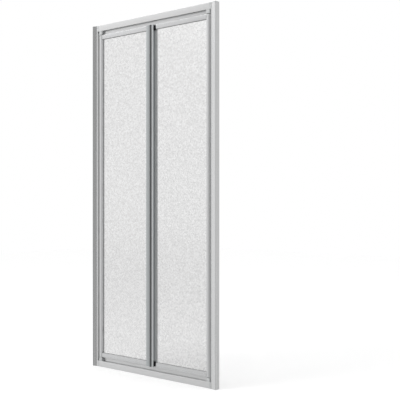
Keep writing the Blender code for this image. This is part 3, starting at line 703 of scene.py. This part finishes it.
def groove(mouth, deep):
    return notch(mouth, deep, GROOVE_FRONT, GROOVE_BACK, SMALL_ROUND)


print("groove", round((GROOVE_BACK - GROOVE_FRONT) * 1000, 1), "mm wide")

# %% [markdown]
# ## Header and sill
#
# The header hangs over the leaves like a pelmet: a fascia in front, a track for
# the blocks behind it, and a lip that reaches down behind the leaves. Two chambers
# keep the profile light. The sill is the same profile the other way up. Corner
# keys of moulded plastic close its ends.

# %% The track profile


def track_parts(y0, y1, edge, inward):
    """The track (y, z) and its two chambers, measured from its outer edge."""
    front = y0 + TRACK_FRONT_IN
    back = front + TRACK_WIDTH
    lip = back + TRACK_SKIN
    ceiling = edge + inward * TRACK_CEILING
    fascia = edge + inward * FASCIA_HEIGHT
    lip_end = edge + inward * (FASCIA_HEIGHT + LIP_DROP)
    skin = inward * TRACK_SKIN
    track = [
        (y0, edge, TRACK_ROUND),
        (y1, edge, TRACK_ROUND),
        (y1, fascia, SMALL_ROUND),
        (lip, fascia),
        (lip, lip_end, SMALL_ROUND),
        (back, lip_end, SMALL_ROUND),
        (back, ceiling),
        (front, ceiling),
        (front, fascia, SMALL_ROUND),
        (y0, fascia, TRACK_ROUND),
    ]
    over = chamber(y0 + TRACK_SKIN, y1 - TRACK_SKIN, edge + skin, ceiling - skin)
    behind = chamber(lip, y1 - TRACK_SKIN, ceiling, fascia - skin)
    return [track, over, behind]


for node in ("header", "sill"):
    x0, x1, y0, y1, z0, z1 = reach(node)
    edge, inward = (z1, -1) if node == "header" else (z0, 1)
    parts = track_parts(y0, y1, edge, inward)
    profile(node, "_profile", parts, "frame", level_satin_shaded, along="X")

# %% [markdown]
# ## The outer stiles
#
# Each leaf is a frame of four profiles. The outer stile of a leaf is slightly
# arched in front, which draws a soft light down its length, and holds the glass in
# a groove on its inner side. One outline serves both leaves, mirrored.

# %% Outer stiles
for node, body in (("stile_a_pivot", "leaf_a"), ("stile_b_closing", "leaf_b")):
    x0, x1, y0, y1, z0, z1 = reach(node)
    outer, inner, inward = (x0, x1, 1) if body == "leaf_a" else (x1, x0, -1)
    deep = inner - inward * GROOVE_DEEP
    skin = inward * SKIN
    outline = crown(outer, inner, y0, STILE_CROWN) + groove(inner, deep)
    outline += [(inner, y1, LEAF_ROUND), (outer, y1, LEAF_ROUND)]
    hollow = chamber(outer + skin, deep - skin, y0 + STILE_CROWN + SKIN, y1 - SKIN)
    profile(node, "_profile", [outline, hollow], body, stile_satin_shaded)

# %% [markdown]
# ## The meeting stile of the pivot leaf
#
# Where the leaves meet, the pivot leaf's stile is broader and stands proud, with
# the same arched front. On its free side it has a slot for the tongue of the hinge,
# and on the other the groove for the glass.

# %% The meeting stile of the pivot leaf
SLOT_FRONT = -0.0083
SLOT_BACK = -0.0057
STILE_SLOT = 0.00603

x0, x1, y0, y1, z0, z1 = reach("stile_a_meeting")
slot_end = x1 - STILE_SLOT
deep = x0 + GROOVE_DEEP
outline = crown(x0, x1, y0, STILE_CROWN)
outline += notch(x1, slot_end, SLOT_FRONT, SLOT_BACK)
outline += [(x1, y1, LEAF_ROUND), (x0, y1, LEAF_ROUND)]
outline += groove(x0, deep)[::-1]
hollow = chamber(deep + SKIN, slot_end - SKIN, y0 + STILE_CROWN + SKIN, y1 - SKIN)
profile("stile_a_meeting", "_profile", [outline, hollow], "leaf_a", meeting_satin_shaded)

# %% [markdown]
# ## The finger grip
#
# The sliding leaf has no knob. A thick grip profile stands next to a recessed
# stile, and fingers reach behind its lip, anywhere along its height, to pull the
# door open. It is all flat faces with broken edges, so two outlines give it.

# %% The grip profile and the recessed stile beside it
GRIP_WEB = 0.0125
GRIP_LIP = 0.002
GRIP_SLOT = 0.00453

x0, x1, y0, y1, z0, z1 = reach("grip_profile")
outline = [
    (x0, y0, SMALL_ROUND),
    (x1, y0, LEAF_ROUND),
    (x1, y0 + GRIP_LIP, LEAF_ROUND),
    (x0 + GRIP_WEB, y0 + GRIP_LIP),
    (x0 + GRIP_WEB, y1, SMALL_ROUND),
    (x0, y1, SMALL_ROUND),
    *notch(x0, x0 + GRIP_SLOT, SLOT_FRONT, SLOT_BACK)[::-1],
]
profile("grip_profile", "_bar", [outline], "leaf_b", grip_satin_shaded)

x0, x1, y0, y1, z0, z1 = reach("stile_b_meeting")
deep = x1 - GROOVE_DEEP
outline = [
    (x0, y0, SMALL_ROUND),
    (x1, y0, SMALL_ROUND),
    (x1, GROOVE_FRONT),
    *groove(x1, deep)[1:],
    (x1, y1, LEAF_ROUND),
    (x0, y1, SMALL_ROUND),
]
hollow = chamber(x0 + SKIN, deep - SKIN, y0 + SKIN, y1 - SKIN)
profile("stile_b_meeting", "_profile", [outline, hollow], "leaf_b", grip_satin_shaded)

# %% [markdown]
# ## The rails
#
# Rails close the leaves at top and bottom. Their front is barely arched, and the
# outer edge has a larger round than the inner one, which is the bright line under
# the header in the picture.

# %% The rails
for leaf in ("a", "b"):
    for end in ENDS:
        node = f"rail_{leaf}_{end}"
        x0, x1, y0, y1, z0, z1 = reach(node)
        outer, inner, outward = (z1, z0, 1) if end == "top" else (z0, z1, -1)
        front = y0 + RAIL_CROWN
        deep = inner + outward * GROOVE_DEEP
        skin = outward * SKIN
        arch = [
            (b, outer - outward * (a - z0))
            for a, b in crown(z0, z1, y0, RAIL_CROWN)
            if z0 + RAIL_ROUND + SMALL_ROUND < a < z1 - 2 * SMALL_ROUND
        ]
        outline = [(front, outer, RAIL_ROUND), *arch, (front, inner, SMALL_ROUND)]
        outline += flipped(groove(inner, deep))
        outline += [(y1, inner, LEAF_ROUND), (y1, outer, LEAF_ROUND)]
        parts = [outline, chamber(front + SKIN, y1 - SKIN, outer - skin, deep + skin)]
        profile(node, "_profile", parts, "leaf_" + leaf, rail_satin_shaded, along="X")

# %% [markdown]
# ## Pebbled panes
#
# Molten glass runs over a patterned roller and keeps the print of its pebbles on
# one face. Each pebble is a jittered cell: the surface is high in the middle of a
# cell and dips where it meets the next one. The difference between the distances
# to the nearest and to the second nearest centre says exactly that. The back face
# and the edges stay flat, and the rim under the gasket stays flat too.

# %% The panes
PANE_STEP = 0.0026
RELIEF = 0.0004
RIM = 0.004
JITTER = 0.36
DOME_SHARE = 0.7


def pebbled_pane(leaf, seed):
    name, node = "pane_" + leaf, "glass_" + leaf
    x0, x1, y0, y1, z0, z1 = reach(node)
    across = round((x1 - x0) / PANE_STEP)
    up = round((z1 - z0) / PANE_STEP)
    xs, zs = np.meshgrid(
        np.linspace(x0, x1, across + 1), np.linspace(z0, z1, up + 1), indexing="ij"
    )
    random = np.random.default_rng(seed)
    size = (int((x1 - x0) / PEBBLE) + 4, int((z1 - z0) / PEBBLE) + 4)
    shift_x = random.uniform(-JITTER, JITTER, size)
    shift_z = random.uniform(-JITTER, JITTER, size)
    column = np.floor((xs - x0) / PEBBLE).astype(int) + 1
    row = np.floor((zs - z0) / PEBBLE).astype(int) + 1
    nearest = np.full(xs.shape, 1.0)
    second = np.full(xs.shape, 1.0)
    for i in (-1, 0, 1):
        for j in (-1, 0, 1):
            cell = (column + i, row + j)
            centre_x = x0 + (cell[0] - 0.5 + shift_x[cell]) * PEBBLE
            centre_z = z0 + (cell[1] - 0.5 + shift_z[cell]) * PEBBLE
            away = np.hypot(xs - centre_x, zs - centre_z)
            second = np.minimum(second, np.maximum(nearest, away))
            nearest = np.minimum(nearest, away)
    dome = np.clip((second - nearest) / (DOME_SHARE * PEBBLE), 0.0, 1.0)
    to_edge = np.minimum(np.minimum(xs - x0, x1 - xs), np.minimum(zs - z0, z1 - zs))
    fade = np.clip((to_edge - RIM / 2) / RIM, 0.0, 1.0)
    depth = RELIEF * (1 - dome * (2 - dome)) * fade
    front = np.stack([xs, y0 + depth, zs], axis=-1).reshape(-1, 3).tolist()
    corners = [(x0, y1, z0), (x1, y1, z0), (x1, y1, z1), (x0, y1, z1)]
    first = len(front)
    number = np.arange(first).reshape(across + 1, up + 1)
    quads = np.stack(
        [number[:-1, :-1], number[1:, :-1], number[1:, 1:], number[:-1, 1:]], axis=-1
    )
    faces = quads.reshape(-1, 4).tolist()
    faces.append([first, first + 3, first + 2, first + 1])
    rims = (number[::-1, 0], number[-1, ::-1], number[:, -1], number[0, :])
    for side, rim in enumerate(rims):
        faces.append([first + side, first + (side + 1) % 4, *rim.tolist()])
    mesh = bpy.data.meshes.new(name)
    mesh.from_pydata(front + corners, [], faces)
    filed(name, shaded(mesh, sharp_from=50), node, "leaf_" + leaf, pebbled_glass)
    print(name, len(mesh.vertices), "points")


pebbled_pane("a", seed=7)
pebbled_pane("b", seed=19)

# %% [markdown]
# ## Glazing gaskets
#
# Soft profiles close every joint. The glazing gasket has a foot in the groove and
# a thin lip that lies on the glass. It is one gasket in two colours: dark in the
# rails, where it paints the shade line along the glass, and grey in the stiles,
# where the picture shows hardly a line.

# %% Glazing gaskets
GASKET_FRONT = 0.0003
GASKET_BACK = 0.0015
GASKET_FLAT = 0.0047
LIP_FALL = 0.0006
RUBBER_EDGE = 0.0001
RUBBER_ROUND = 0.0002
RUBBER_BEND = 0.0004
RUBBER_NOSE = 0.00025


def gasket(foot, nose):
    """Corners (across, y) of a gasket from its foot to the nose of its lip."""
    sign = 1 if nose > foot else -1
    front, back = GROOVE_FRONT + GASKET_FRONT, GROOVE_FRONT + GASKET_BACK
    return [
        (foot, front, RUBBER_ROUND),
        (foot + sign * GASKET_FLAT, front, RUBBER_BEND),
        (nose, front + LIP_FALL, RUBBER_NOSE),
        (nose, back, RUBBER_ROUND),
        (foot, back, RUBBER_ROUND),
    ]


for leaf in ("a", "b"):
    body = "leaf_" + leaf
    for side in (*SIDES, *ENDS):
        node = f"gasket_{leaf}_{side}"
        x0, x1, y0, y1, z0, z1 = reach(node)
        reached = (z0, z1) if side in ENDS else (x0, x1)
        parts = [gasket(*reached[::-1] if side in ("right", "top") else reached)]
        # One gasket, two colours: grey in the stiles, and dark in the rails, where it
        # paints the shade line.
        if side in SIDES:
            profile(node, "_lip", parts, body, grey_seal, "Z", RUBBER_EDGE, steps=4)
        else:
            parts = [flipped(parts[0])]
            profile(node, "_lip", parts, body, dark_seal_and_shade_line, "X", RUBBER_EDGE, steps=4)

# %% [markdown]
# ## Seals
#
# The seals on the jambs are bulbs that the leaf presses flat, and a thin lip
# closes the gap at the hinge from behind. A bulb is a foot with a hollow nose, so
# it is one outline with another inside it. Each is the same on both sides, and its
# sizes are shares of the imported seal's height and width.

# %% Bulb seals and the lip at the hinge
FOOT_ROUND = 0.0002
FOOT_SHARE = 0.35
WALL_SHARE = 0.2
NOSE_SHARES = (0.45, 0.24)
NOSE_INSET = 0.14
ROOM_INSETS = (0.22, 0.3)
LIP_ROUND = 0.0003
LIP_TIP_ROUND = 0.0004
LIP_STEP = 0.0026
LIP_SLOPE = 0.0009


def two_halves(half, y0, y1):
    """Corners from (x, inset, radius), along y0 and back along y1."""
    near = [(x, y0 + inset, radius) for x, inset, radius in half]
    far = [(x, y1 - inset, radius) for x, inset, radius in half]
    return near + far[::-1]


def bulb(base, tip, y0, y1):
    """A foot along one x and a hollow bulb that reaches to the other."""
    height = tip - base
    width = y1 - y0
    nose_round = min(abs(height) * NOSE_SHARES[0], width * NOSE_SHARES[1])
    wall = height * WALL_SHARE
    shell = [
        (base, 0.0, FOOT_ROUND),
        (base + height * FOOT_SHARE, 0.0, FOOT_ROUND),
        (tip, width * NOSE_INSET, nose_round),
    ]
    room = [
        (base + wall, width * ROOM_INSETS[0], abs(wall)),
        (tip - wall, width * ROOM_INSETS[1], abs(wall)),
    ]
    return [two_halves(shell, y0, y1), two_halves(room, y0, y1)]


for node, body in (
    ("pivot_seal", "frame"),
    ("strike_seal", "frame"),
    ("closing_seal", "leaf_b"),
):
    x0, x1, y0, y1, z0, z1 = reach(node)
    base, tip = (x1, x0) if node == "strike_seal" else (x0, x1)
    parts = bulb(base, tip, y0, y1)
    profile(node, "_bulb", parts, body, grey_seal, edge=RUBBER_EDGE)

x0, x1, y0, y1, z0, z1 = reach("centre_seal")
lip = [
    (x0, y0, LIP_ROUND),
    (x0 + LIP_STEP, y0, LIP_ROUND),
    (x1, y0 + LIP_SLOPE, LIP_TIP_ROUND),
    (x1, y1, LIP_TIP_ROUND),
    (x0, y1, LIP_ROUND),
]
profile("centre_seal", "_lip", [lip], "leaf_a", dark_seal_and_shade_line, edge=RUBBER_EDGE)

# %% [markdown]
# ## The hinge
#
# A long hinge of grey plastic joins the leaves: three knuckles on one rod, each
# with a flat tongue that is slid into the slot of its stile. From the room it is
# the dark line between the two leaves. A knuckle could be a tube joined to a strip,
# but one outline that runs round the tube and out along the tongue has no seam.

# %% Knuckles and rod
HINGE_X = 0.002
HINGE_Y = -0.0115
KNUCKLE_RADIUS = 0.0045
KNUCKLE_BORE = 0.0016
TONGUE_FRONT = -0.008
TONGUE_BACK = -0.006


def arc(a, b, radius, start=0.0, end=2 * math.pi, steps=36):
    """Points round a centre, from one angle to just before another."""
    turns = [start + (end - start) * step / steps for step in range(steps)]
    return [(a + radius * math.cos(t), b + radius * math.sin(t)) for t in turns]


def knuckle(direction, far):
    """Out along the tongue to its far end, and back round the tube."""
    drop = TONGUE_FRONT - HINGE_Y
    start = math.atan2(drop, direction * math.sqrt(KNUCKLE_RADIUS**2 - drop**2))
    end = math.pi / 2 - direction * 2 * math.pi
    tongue = [(HINGE_X, TONGUE_BACK), (far, TONGUE_BACK), (far, TONGUE_FRONT)]
    return tongue + arc(HINGE_X, HINGE_Y, KNUCKLE_RADIUS, start, end, steps=48)


bore = arc(HINGE_X, HINGE_Y, KNUCKLE_BORE)
for node, body, direction in (
    ("hinge_knuckle_a_bottom", "leaf_a", -1),
    ("hinge_knuckle_a_top", "leaf_a", -1),
    ("hinge_knuckle_b", "leaf_b", 1),
):
    x0, x1, *_ = reach(node)
    parts = [knuckle(direction, x0 if direction < 0 else x1), bore]
    profile(node, "_run", parts, body, hinge_plastic, edge=0.0002)

x0, x1, *_ = reach("hinge_rod")
rod = arc(HINGE_X, HINGE_Y, (x1 - x0) / 2)
profile("hinge_rod", "_bar", [rod], "leaf_a", turned_steel, edge=0.0004)

# %% [markdown]
# ## Grip plugs
#
# Black plugs close the finger grip at its top and bottom, flush with its lip. They
# are mouldings, so their front corner is softly rounded, and a step lets them sit
# behind the lip.

# %% Plugs
GRIP_LIP_END = 0.02257
PLUG_GAP = 0.0003
PLUG_STEP = 0.0023
PLUG_NOSE_ROUND = 0.0015
MOULDED_ROUND = 0.0004

for end in ENDS:
    node = "grip_plug_" + end
    x0, x1, y0, y1, z0, z1 = reach(node)
    plug = [
        (x0, y0 + PLUG_STEP, MOULDED_ROUND),
        (GRIP_LIP_END + PLUG_GAP, y0 + PLUG_STEP),
        (GRIP_LIP_END + PLUG_GAP, y0, SMALL_ROUND),
        (x1, y0, PLUG_NOSE_ROUND),
        (x1, y1, SMALL_ROUND),
        (x0, y1, SMALL_ROUND),
    ]
    profile(node, "_moulding", [plug], "leaf_b", black_plastic, edge=0.0004)

# %% [markdown]
# ## Channel caps
#
# A thin moulded cap covers the top of each wall profile. Its outline follows the
# splayed channel and the jamb that stands in it, so that no cut end shows.

# %% Channel caps
CHANNEL_REACH = 0.025
CHANNEL_HALF = 0.016
CHANNEL_NOSE = -0.0110
JAMB_FRONT = -0.0090
JAMB_BACK = 0.0140
CHANNEL_ROUND = 0.0012
JAMB_ROUND = 0.0010

for side in SIDES:
    node = "channel_cap_" + side
    x0, x1, y0, y1, z0, z1 = reach(node)
    wall, room, inward = (x0, x1, 1) if side == "left" else (x1, x0, -1)
    nose = wall + inward * CHANNEL_REACH
    cap = [
        (wall, -CHANNEL_HALF, CHANNEL_ROUND),
        (nose, CHANNEL_NOSE, SMALL_ROUND),
        (nose, JAMB_FRONT),
        (room, JAMB_FRONT, JAMB_ROUND),
        (room, JAMB_BACK, JAMB_ROUND),
        (nose, JAMB_BACK),
        (nose, CHANNEL_HALF, SMALL_ROUND),
        (wall, CHANNEL_HALF, CHANNEL_ROUND),
    ]
    profile(node, "_cover", [cap], "frame", light_plastic, edge=0.0003)

# %% [markdown]
# ## Pivot locks
#
# A small grey lock sits in each track beside the pivot block and keeps it in its
# place. It has a ribbed front for the thumb. The ribs run across, so the piece is a
# profile too, drawn from its side view.

# %% Pivot locks
TEETH = 4
TOOTH_DEPTH = 0.0009
TOOTH_ROUND = 0.0002
LOCK_EDGE = 0.0001

for end in ENDS:
    node = "pivot_lock_" + end
    x0, x1, y0, y1, z0, z1 = reach(node)
    pitch = (z1 - z0) / (2 * TEETH + 1)
    deep = y0 + TOOTH_DEPTH
    ribbed = [(y, z, MOULDED_ROUND) for y, z in ((y1, z1), (y1, z0), (y0, z0))]
    for tooth in range(TEETH):
        low = z0 + pitch * (2 * tooth + 1)
        high = low + pitch
        valley = ((y0, low), (deep, low), (deep, high), (y0, high))
        ribbed += [(y, z, TOOTH_ROUND) for y, z in valley]
    ribbed.append((y0, z1, MOULDED_ROUND))
    profile(node, "_moulding", [ribbed], "frame", lock_plastic_painted_lighter, "X", LOCK_EDGE, steps=3)

# %% [markdown]
# ## Screws
#
# Every screw has a domed head with a cross recess. The head and the shank are
# turned shapes, so a lathe function makes them from a half outline, and the
# recess is cut with two crossed blades. Each kind of screw is made once and then
# set in all its places.

# %% Lathe and screws
THREAD_PITCH = 0.0009
THREAD_ROOT = 0.78
TIP_SHARE = 0.75
TIP_LENGTH = 0.0003
HEAD_EDGE = 0.0002
DOME_RISES = (0.35, 0.6, 0.8, 0.93, 1.0)
DOME_FROM = 0.2
DOME_REACH = 0.9
BLADE_REACH = 0.55
BLADE_WIDTH = 0.24
BLADE_DEPTH = 1.2
BLADE_TAPER = 0.62


def lathe(name, outline, steps=40):
    """A closed turned mesh about z, from (radius, height) points from axis to axis."""
    mesh = bpy.data.meshes.new(name)
    shape = bmesh.new()
    rings = []
    for radius, height in outline:
        around = arc(0, 0, radius, steps=steps) if radius else [(0, 0)]
        rings.append([shape.verts.new((x, y, height)) for x, y in around])
    for lower, upper in zip(rings, rings[1:]):
        for step in range(steps):
            after = (step + 1) % steps
            corners = [lower[step % len(lower)], lower[after % len(lower)]]
            corners += [upper[after % len(upper)], upper[step % len(upper)]]
            shape.faces.new(list(dict.fromkeys(corners)))
    bmesh.ops.recalc_face_normals(shape, faces=shape.faces)
    shape.to_mesh(mesh)
    shape.free()
    return mesh


def screw_mesh(name, head_radius, head_height, shank_radius, shank_length):
    """A screw on z: its head's seat at 0, its head above and its shank below."""
    outline = [(0, -shank_length), (shank_radius * TIP_SHARE, -shank_length)]
    threads = max(2, round(shank_length / THREAD_PITCH))
    step = (shank_length - TIP_LENGTH) / threads
    root = shank_radius * THREAD_ROOT
    for turn in range(threads):
        start = -shank_length + TIP_LENGTH + turn * step
        outline += [(root, start), (shank_radius, start + step / 2)]
    outline += [(root, 0), (head_radius - HEAD_EDGE, 0), (head_radius, HEAD_EDGE)]
    for rise in DOME_RISES:
        spread = math.sqrt(1 - ((rise - DOME_FROM) / DOME_REACH) ** 2)
        outline.append((head_radius * spread, head_height * rise))
    outline.append((0, head_height))
    body = placed(name + "_body", lathe(name, outline))

    blades = bmesh.new()
    long = head_radius * BLADE_REACH * 2
    wide, deep = head_radius * BLADE_WIDTH, head_height * BLADE_DEPTH
    raised = Matrix.Translation((0, 0, head_height))
    for turn in (0, math.pi / 2):
        spot = Matrix.Rotation(turn, 4, "Z") @ raised
        spot = spot @ Matrix.Diagonal((long, wide, deep, 1))
        for vert in bmesh.ops.create_cube(blades, size=1.0, matrix=spot)["verts"]:
            if vert.co.z < head_height:
                vert.co.x *= BLADE_TAPER
                vert.co.y *= BLADE_TAPER
    cutter_mesh = bpy.data.meshes.new(name + "_recess")
    blades.to_mesh(cutter_mesh)
    blades.free()
    cutter = placed(name + "_cutter", cutter_mesh)
    cut = body.modifiers.new("recess", "BOOLEAN")
    cut.operation = "DIFFERENCE"
    cut.solver = "EXACT"
    cut.use_self = True
    cut.object = cutter
    mesh = taken_from(body)
    bpy.data.objects.remove(cutter, do_unlink=True)
    mesh.name = name
    return shaded(mesh, sharp_from=30)


WALL_HEAD = 0.0024
CLAMP_HEAD = 0.0016

wall_screw = screw_mesh("wall_screw", 0.0040, WALL_HEAD, 0.0021, 0.0017)
clamp_screw = screw_mesh("clamp_screw", 0.0034, CLAMP_HEAD, 0.0016, 0.0048)
print("screws:", len(wall_screw.vertices), "and", len(clamp_screw.vertices), "points")

# %% [markdown]
# ### Setting the screws
#
# Two screws hold each channel to its wall, and two clamp each jamb from inside.
# A copy of the mesh goes to the seat of each packed screw. No two real screws stop
# at the same angle, so each is twisted a little differently.

# %% Set the screws
TWIST_EACH = 0.4
TWIST_SIDE = 0.3

for side, sign in (("left", -1), ("right", 1)):
    for number in (1, 2):
        for kind, mesh in (("wall_screw", wall_screw), ("clamp_screw", clamp_screw)):
            node = f"{kind}_{side}_{number}"
            x0, x1, y0, y1, z0, z1 = reach(node)
            seat = Vector(((x0 + x1) / 2, (y0 + y1) / 2, (z0 + z1) / 2))
            if kind == "wall_screw":
                seat.x = (x0 if sign > 0 else x1) + sign * WALL_HEAD
                turn = Matrix.Rotation(-sign * math.pi / 2, 4, "Y")
            else:
                seat.y = y1 - CLAMP_HEAD
                turn = Matrix.Rotation(-math.pi / 2, 4, "X")
            twist = Matrix.Rotation(TWIST_EACH * number + TWIST_SIDE * sign, 4, "Z")
            screw = mesh.copy()
            screw.transform(Matrix.Translation(seat) @ turn @ twist)
            filed(node + "_cross", screw, node, "frame", turned_steel)

# %% [markdown]
# ## Light and ground
#
# A catalogue picture of satin metal is a picture of the studio it reflects. The
# surroundings here are bright on the left, dark in front and mid grey on the
# right, which gives the header its fall from light to grey and the arched stiles
# their soft shading. A small bright softbox stands high on the left and draws the
# thin light along every upper edge. Only the metal and the light on the pieces see
# these. The camera and the panes see plain white, and so does the metal wherever it
# mirrors the backdrop behind the door or the floor below it.
#
# Cards and lamps round the door could do the same. Levels written into the world
# by direction need no extra objects and light every view alike.

# %% The surroundings
RING_LEVELS = {
    -180: 0.62, -110: 0.75, -66: 0.80, -54: 1.06, -47: 1.10, -41: 0.80, -36: 0.40,
    -27: 0.30, -15: 0.42, 90: 0.58, 125: 0.67, 155: 0.67, 180: 0.62,
}
OVERHEAD = 0.95
GROUND = 0.55
SOFTBOX = 2.8
WHITE = 1.0
SOFTBOX_WAY = (-0.73, -0.20, 0.65)
BACKDROP_WAY = (-0.707, 0.707, 0.0)

world = bpy.data.worlds.new("studio")
bpy.context.scene.world = world
world.use_nodes = True
tree = world.node_tree
tree.nodes.clear()
way = node_in(tree, "ShaderNodeTexCoord").outputs["Generated"]
axes = node_in(tree, "ShaderNodeSeparateXYZ", Vector=way).outputs
rays = node_in(tree, "ShaderNodeLightPath").outputs
azimuth = maths(tree, "ARCTAN2", axes["X"], maths(tree, "MULTIPLY", axes["Y"], -1.0))
around = masked(tree, azimuth, -math.pi, math.pi)
ring = node_in(tree, "ShaderNodeValToRGB", Fac=around)
points = ring.color_ramp.elements
while len(points) < len(RING_LEVELS):
    points.new(0.5)
for point, (degrees, level) in zip(points, RING_LEVELS.items()):
    point.position = (degrees + 180) / 360
    point.color = (*grey(level), 1.0)
to_softbox = vectors(tree, "DOT_PRODUCT", way, SOFTBOX_WAY, "Value")
softbox = masked(tree, to_softbox, 0.895, 0.96)
to_backdrop = vectors(tree, "DOT_PRODUCT", way, BACKDROP_WAY, "Value")
behind = masked(tree, to_backdrop, 0.7, 0.9)
below = masked(tree, axes["Z"], -0.4, -0.75)
backdrop = maths(tree, "MAXIMUM", behind, below)
seen = maths(tree, "MAXIMUM", rays["Is Camera Ray"], rays["Is Transmission Ray"])
shown = ring.outputs["Color"]
for level, mask in (
    (OVERHEAD, masked(tree, axes["Z"], 0.35, 0.8)),
    (GROUND, masked(tree, axes["Z"], -0.05, -0.6)),
    (SOFTBOX, maths(tree, "MULTIPLY", softbox, rays["Is Glossy Ray"])),
    (WHITE, maths(tree, "MULTIPLY_ADD", rays["Is Glossy Ray"], backdrop, seen)),
):
    shown = blended(tree, shown, grey(level), mask)
background = node_in(tree, "ShaderNodeBackground", Color=shown, Strength=1.0)
node_in(tree, "ShaderNodeOutputWorld", Surface=background.outputs["Background"])
print("surroundings with", len(points), "levels around the room")

# %% [markdown]
# ### The soft lamp
#
# One large round lamp, up on the left, gives the door a soft shadow on the floor.
# It is kept out of reflections, because the surroundings already have all that the
# metal should mirror.

# %% The soft lamp
LAMP_PLACE = (-1.2, -3.0, 3.4)
LAMP_AIM = (0, 0, 0.8)

lamp_data = bpy.data.lights.new("soft lamp", "AREA")
lamp_data.shape = "DISK"
lamp_data.size = 2.2
lamp_data.energy = 55
lamp = placed("soft_lamp", lamp_data)
lamp.location = LAMP_PLACE
aim = Vector(LAMP_AIM) - lamp.location
lamp.rotation_euler = aim.to_track_quat("-Z", "Y").to_euler()
lamp.visible_glossy = False
print("lamp", lamp_data.energy, "W,", round(aim.length, 2), "m from its aim")

# %% [markdown]
# ### The floor
#
# The floor is there for the shadow. Its colour is a light grey, and a little
# emission that only the camera and the panes see lifts it to the white of the
# backdrop, so no edge shows where they meet and the door gets no extra light.

# %% The floor
FLOOR_LIFT = 0.31
FLOOR_LIFT_IN_GLASS = 0.21

floor_mesh = bpy.data.meshes.new("floor")
shape = bmesh.new()
bmesh.ops.create_grid(shape, x_segments=2, y_segments=2, size=9.0)
shape.to_mesh(floor_mesh)
shape.free()
floor = placed("floor", floor_mesh)
floor.visible_glossy = False
floor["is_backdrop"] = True
floor_finish, tree, shader = start_material("pale floor")
cloud = place_group(tree, clouds, Scale=2.0, Contrast=1.0)
base = blended(tree, grey(0.80), grey(0.82), cloud["Mask"])
rays = node_in(tree, "ShaderNodeLightPath").outputs
lift = maths(tree, "MULTIPLY", rays["Is Transmission Ray"], FLOOR_LIFT_IN_GLASS)
lift = maths(tree, "MULTIPLY_ADD", rays["Is Camera Ray"], FLOOR_LIFT, lift)
finish = {
    "Base Color": base,
    "Roughness": 0.9,
    "Specular IOR Level": 0.0,
    "Emission Color": (1.0, 1.0, 1.0, 1.0),
    "Emission Strength": lift,
}
for name, value in finish.items():
    wire(tree, value, shader.inputs[name])
floor_mesh.materials.append(floor_finish)
print("floor", floor_finish.name)

# %% [markdown]
# ## Sizes
#
# The dressed door must be as large as the imported one.

# %% Finish
low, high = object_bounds()
print("size after ", [round(v * 1000, 1) for v in high - low])
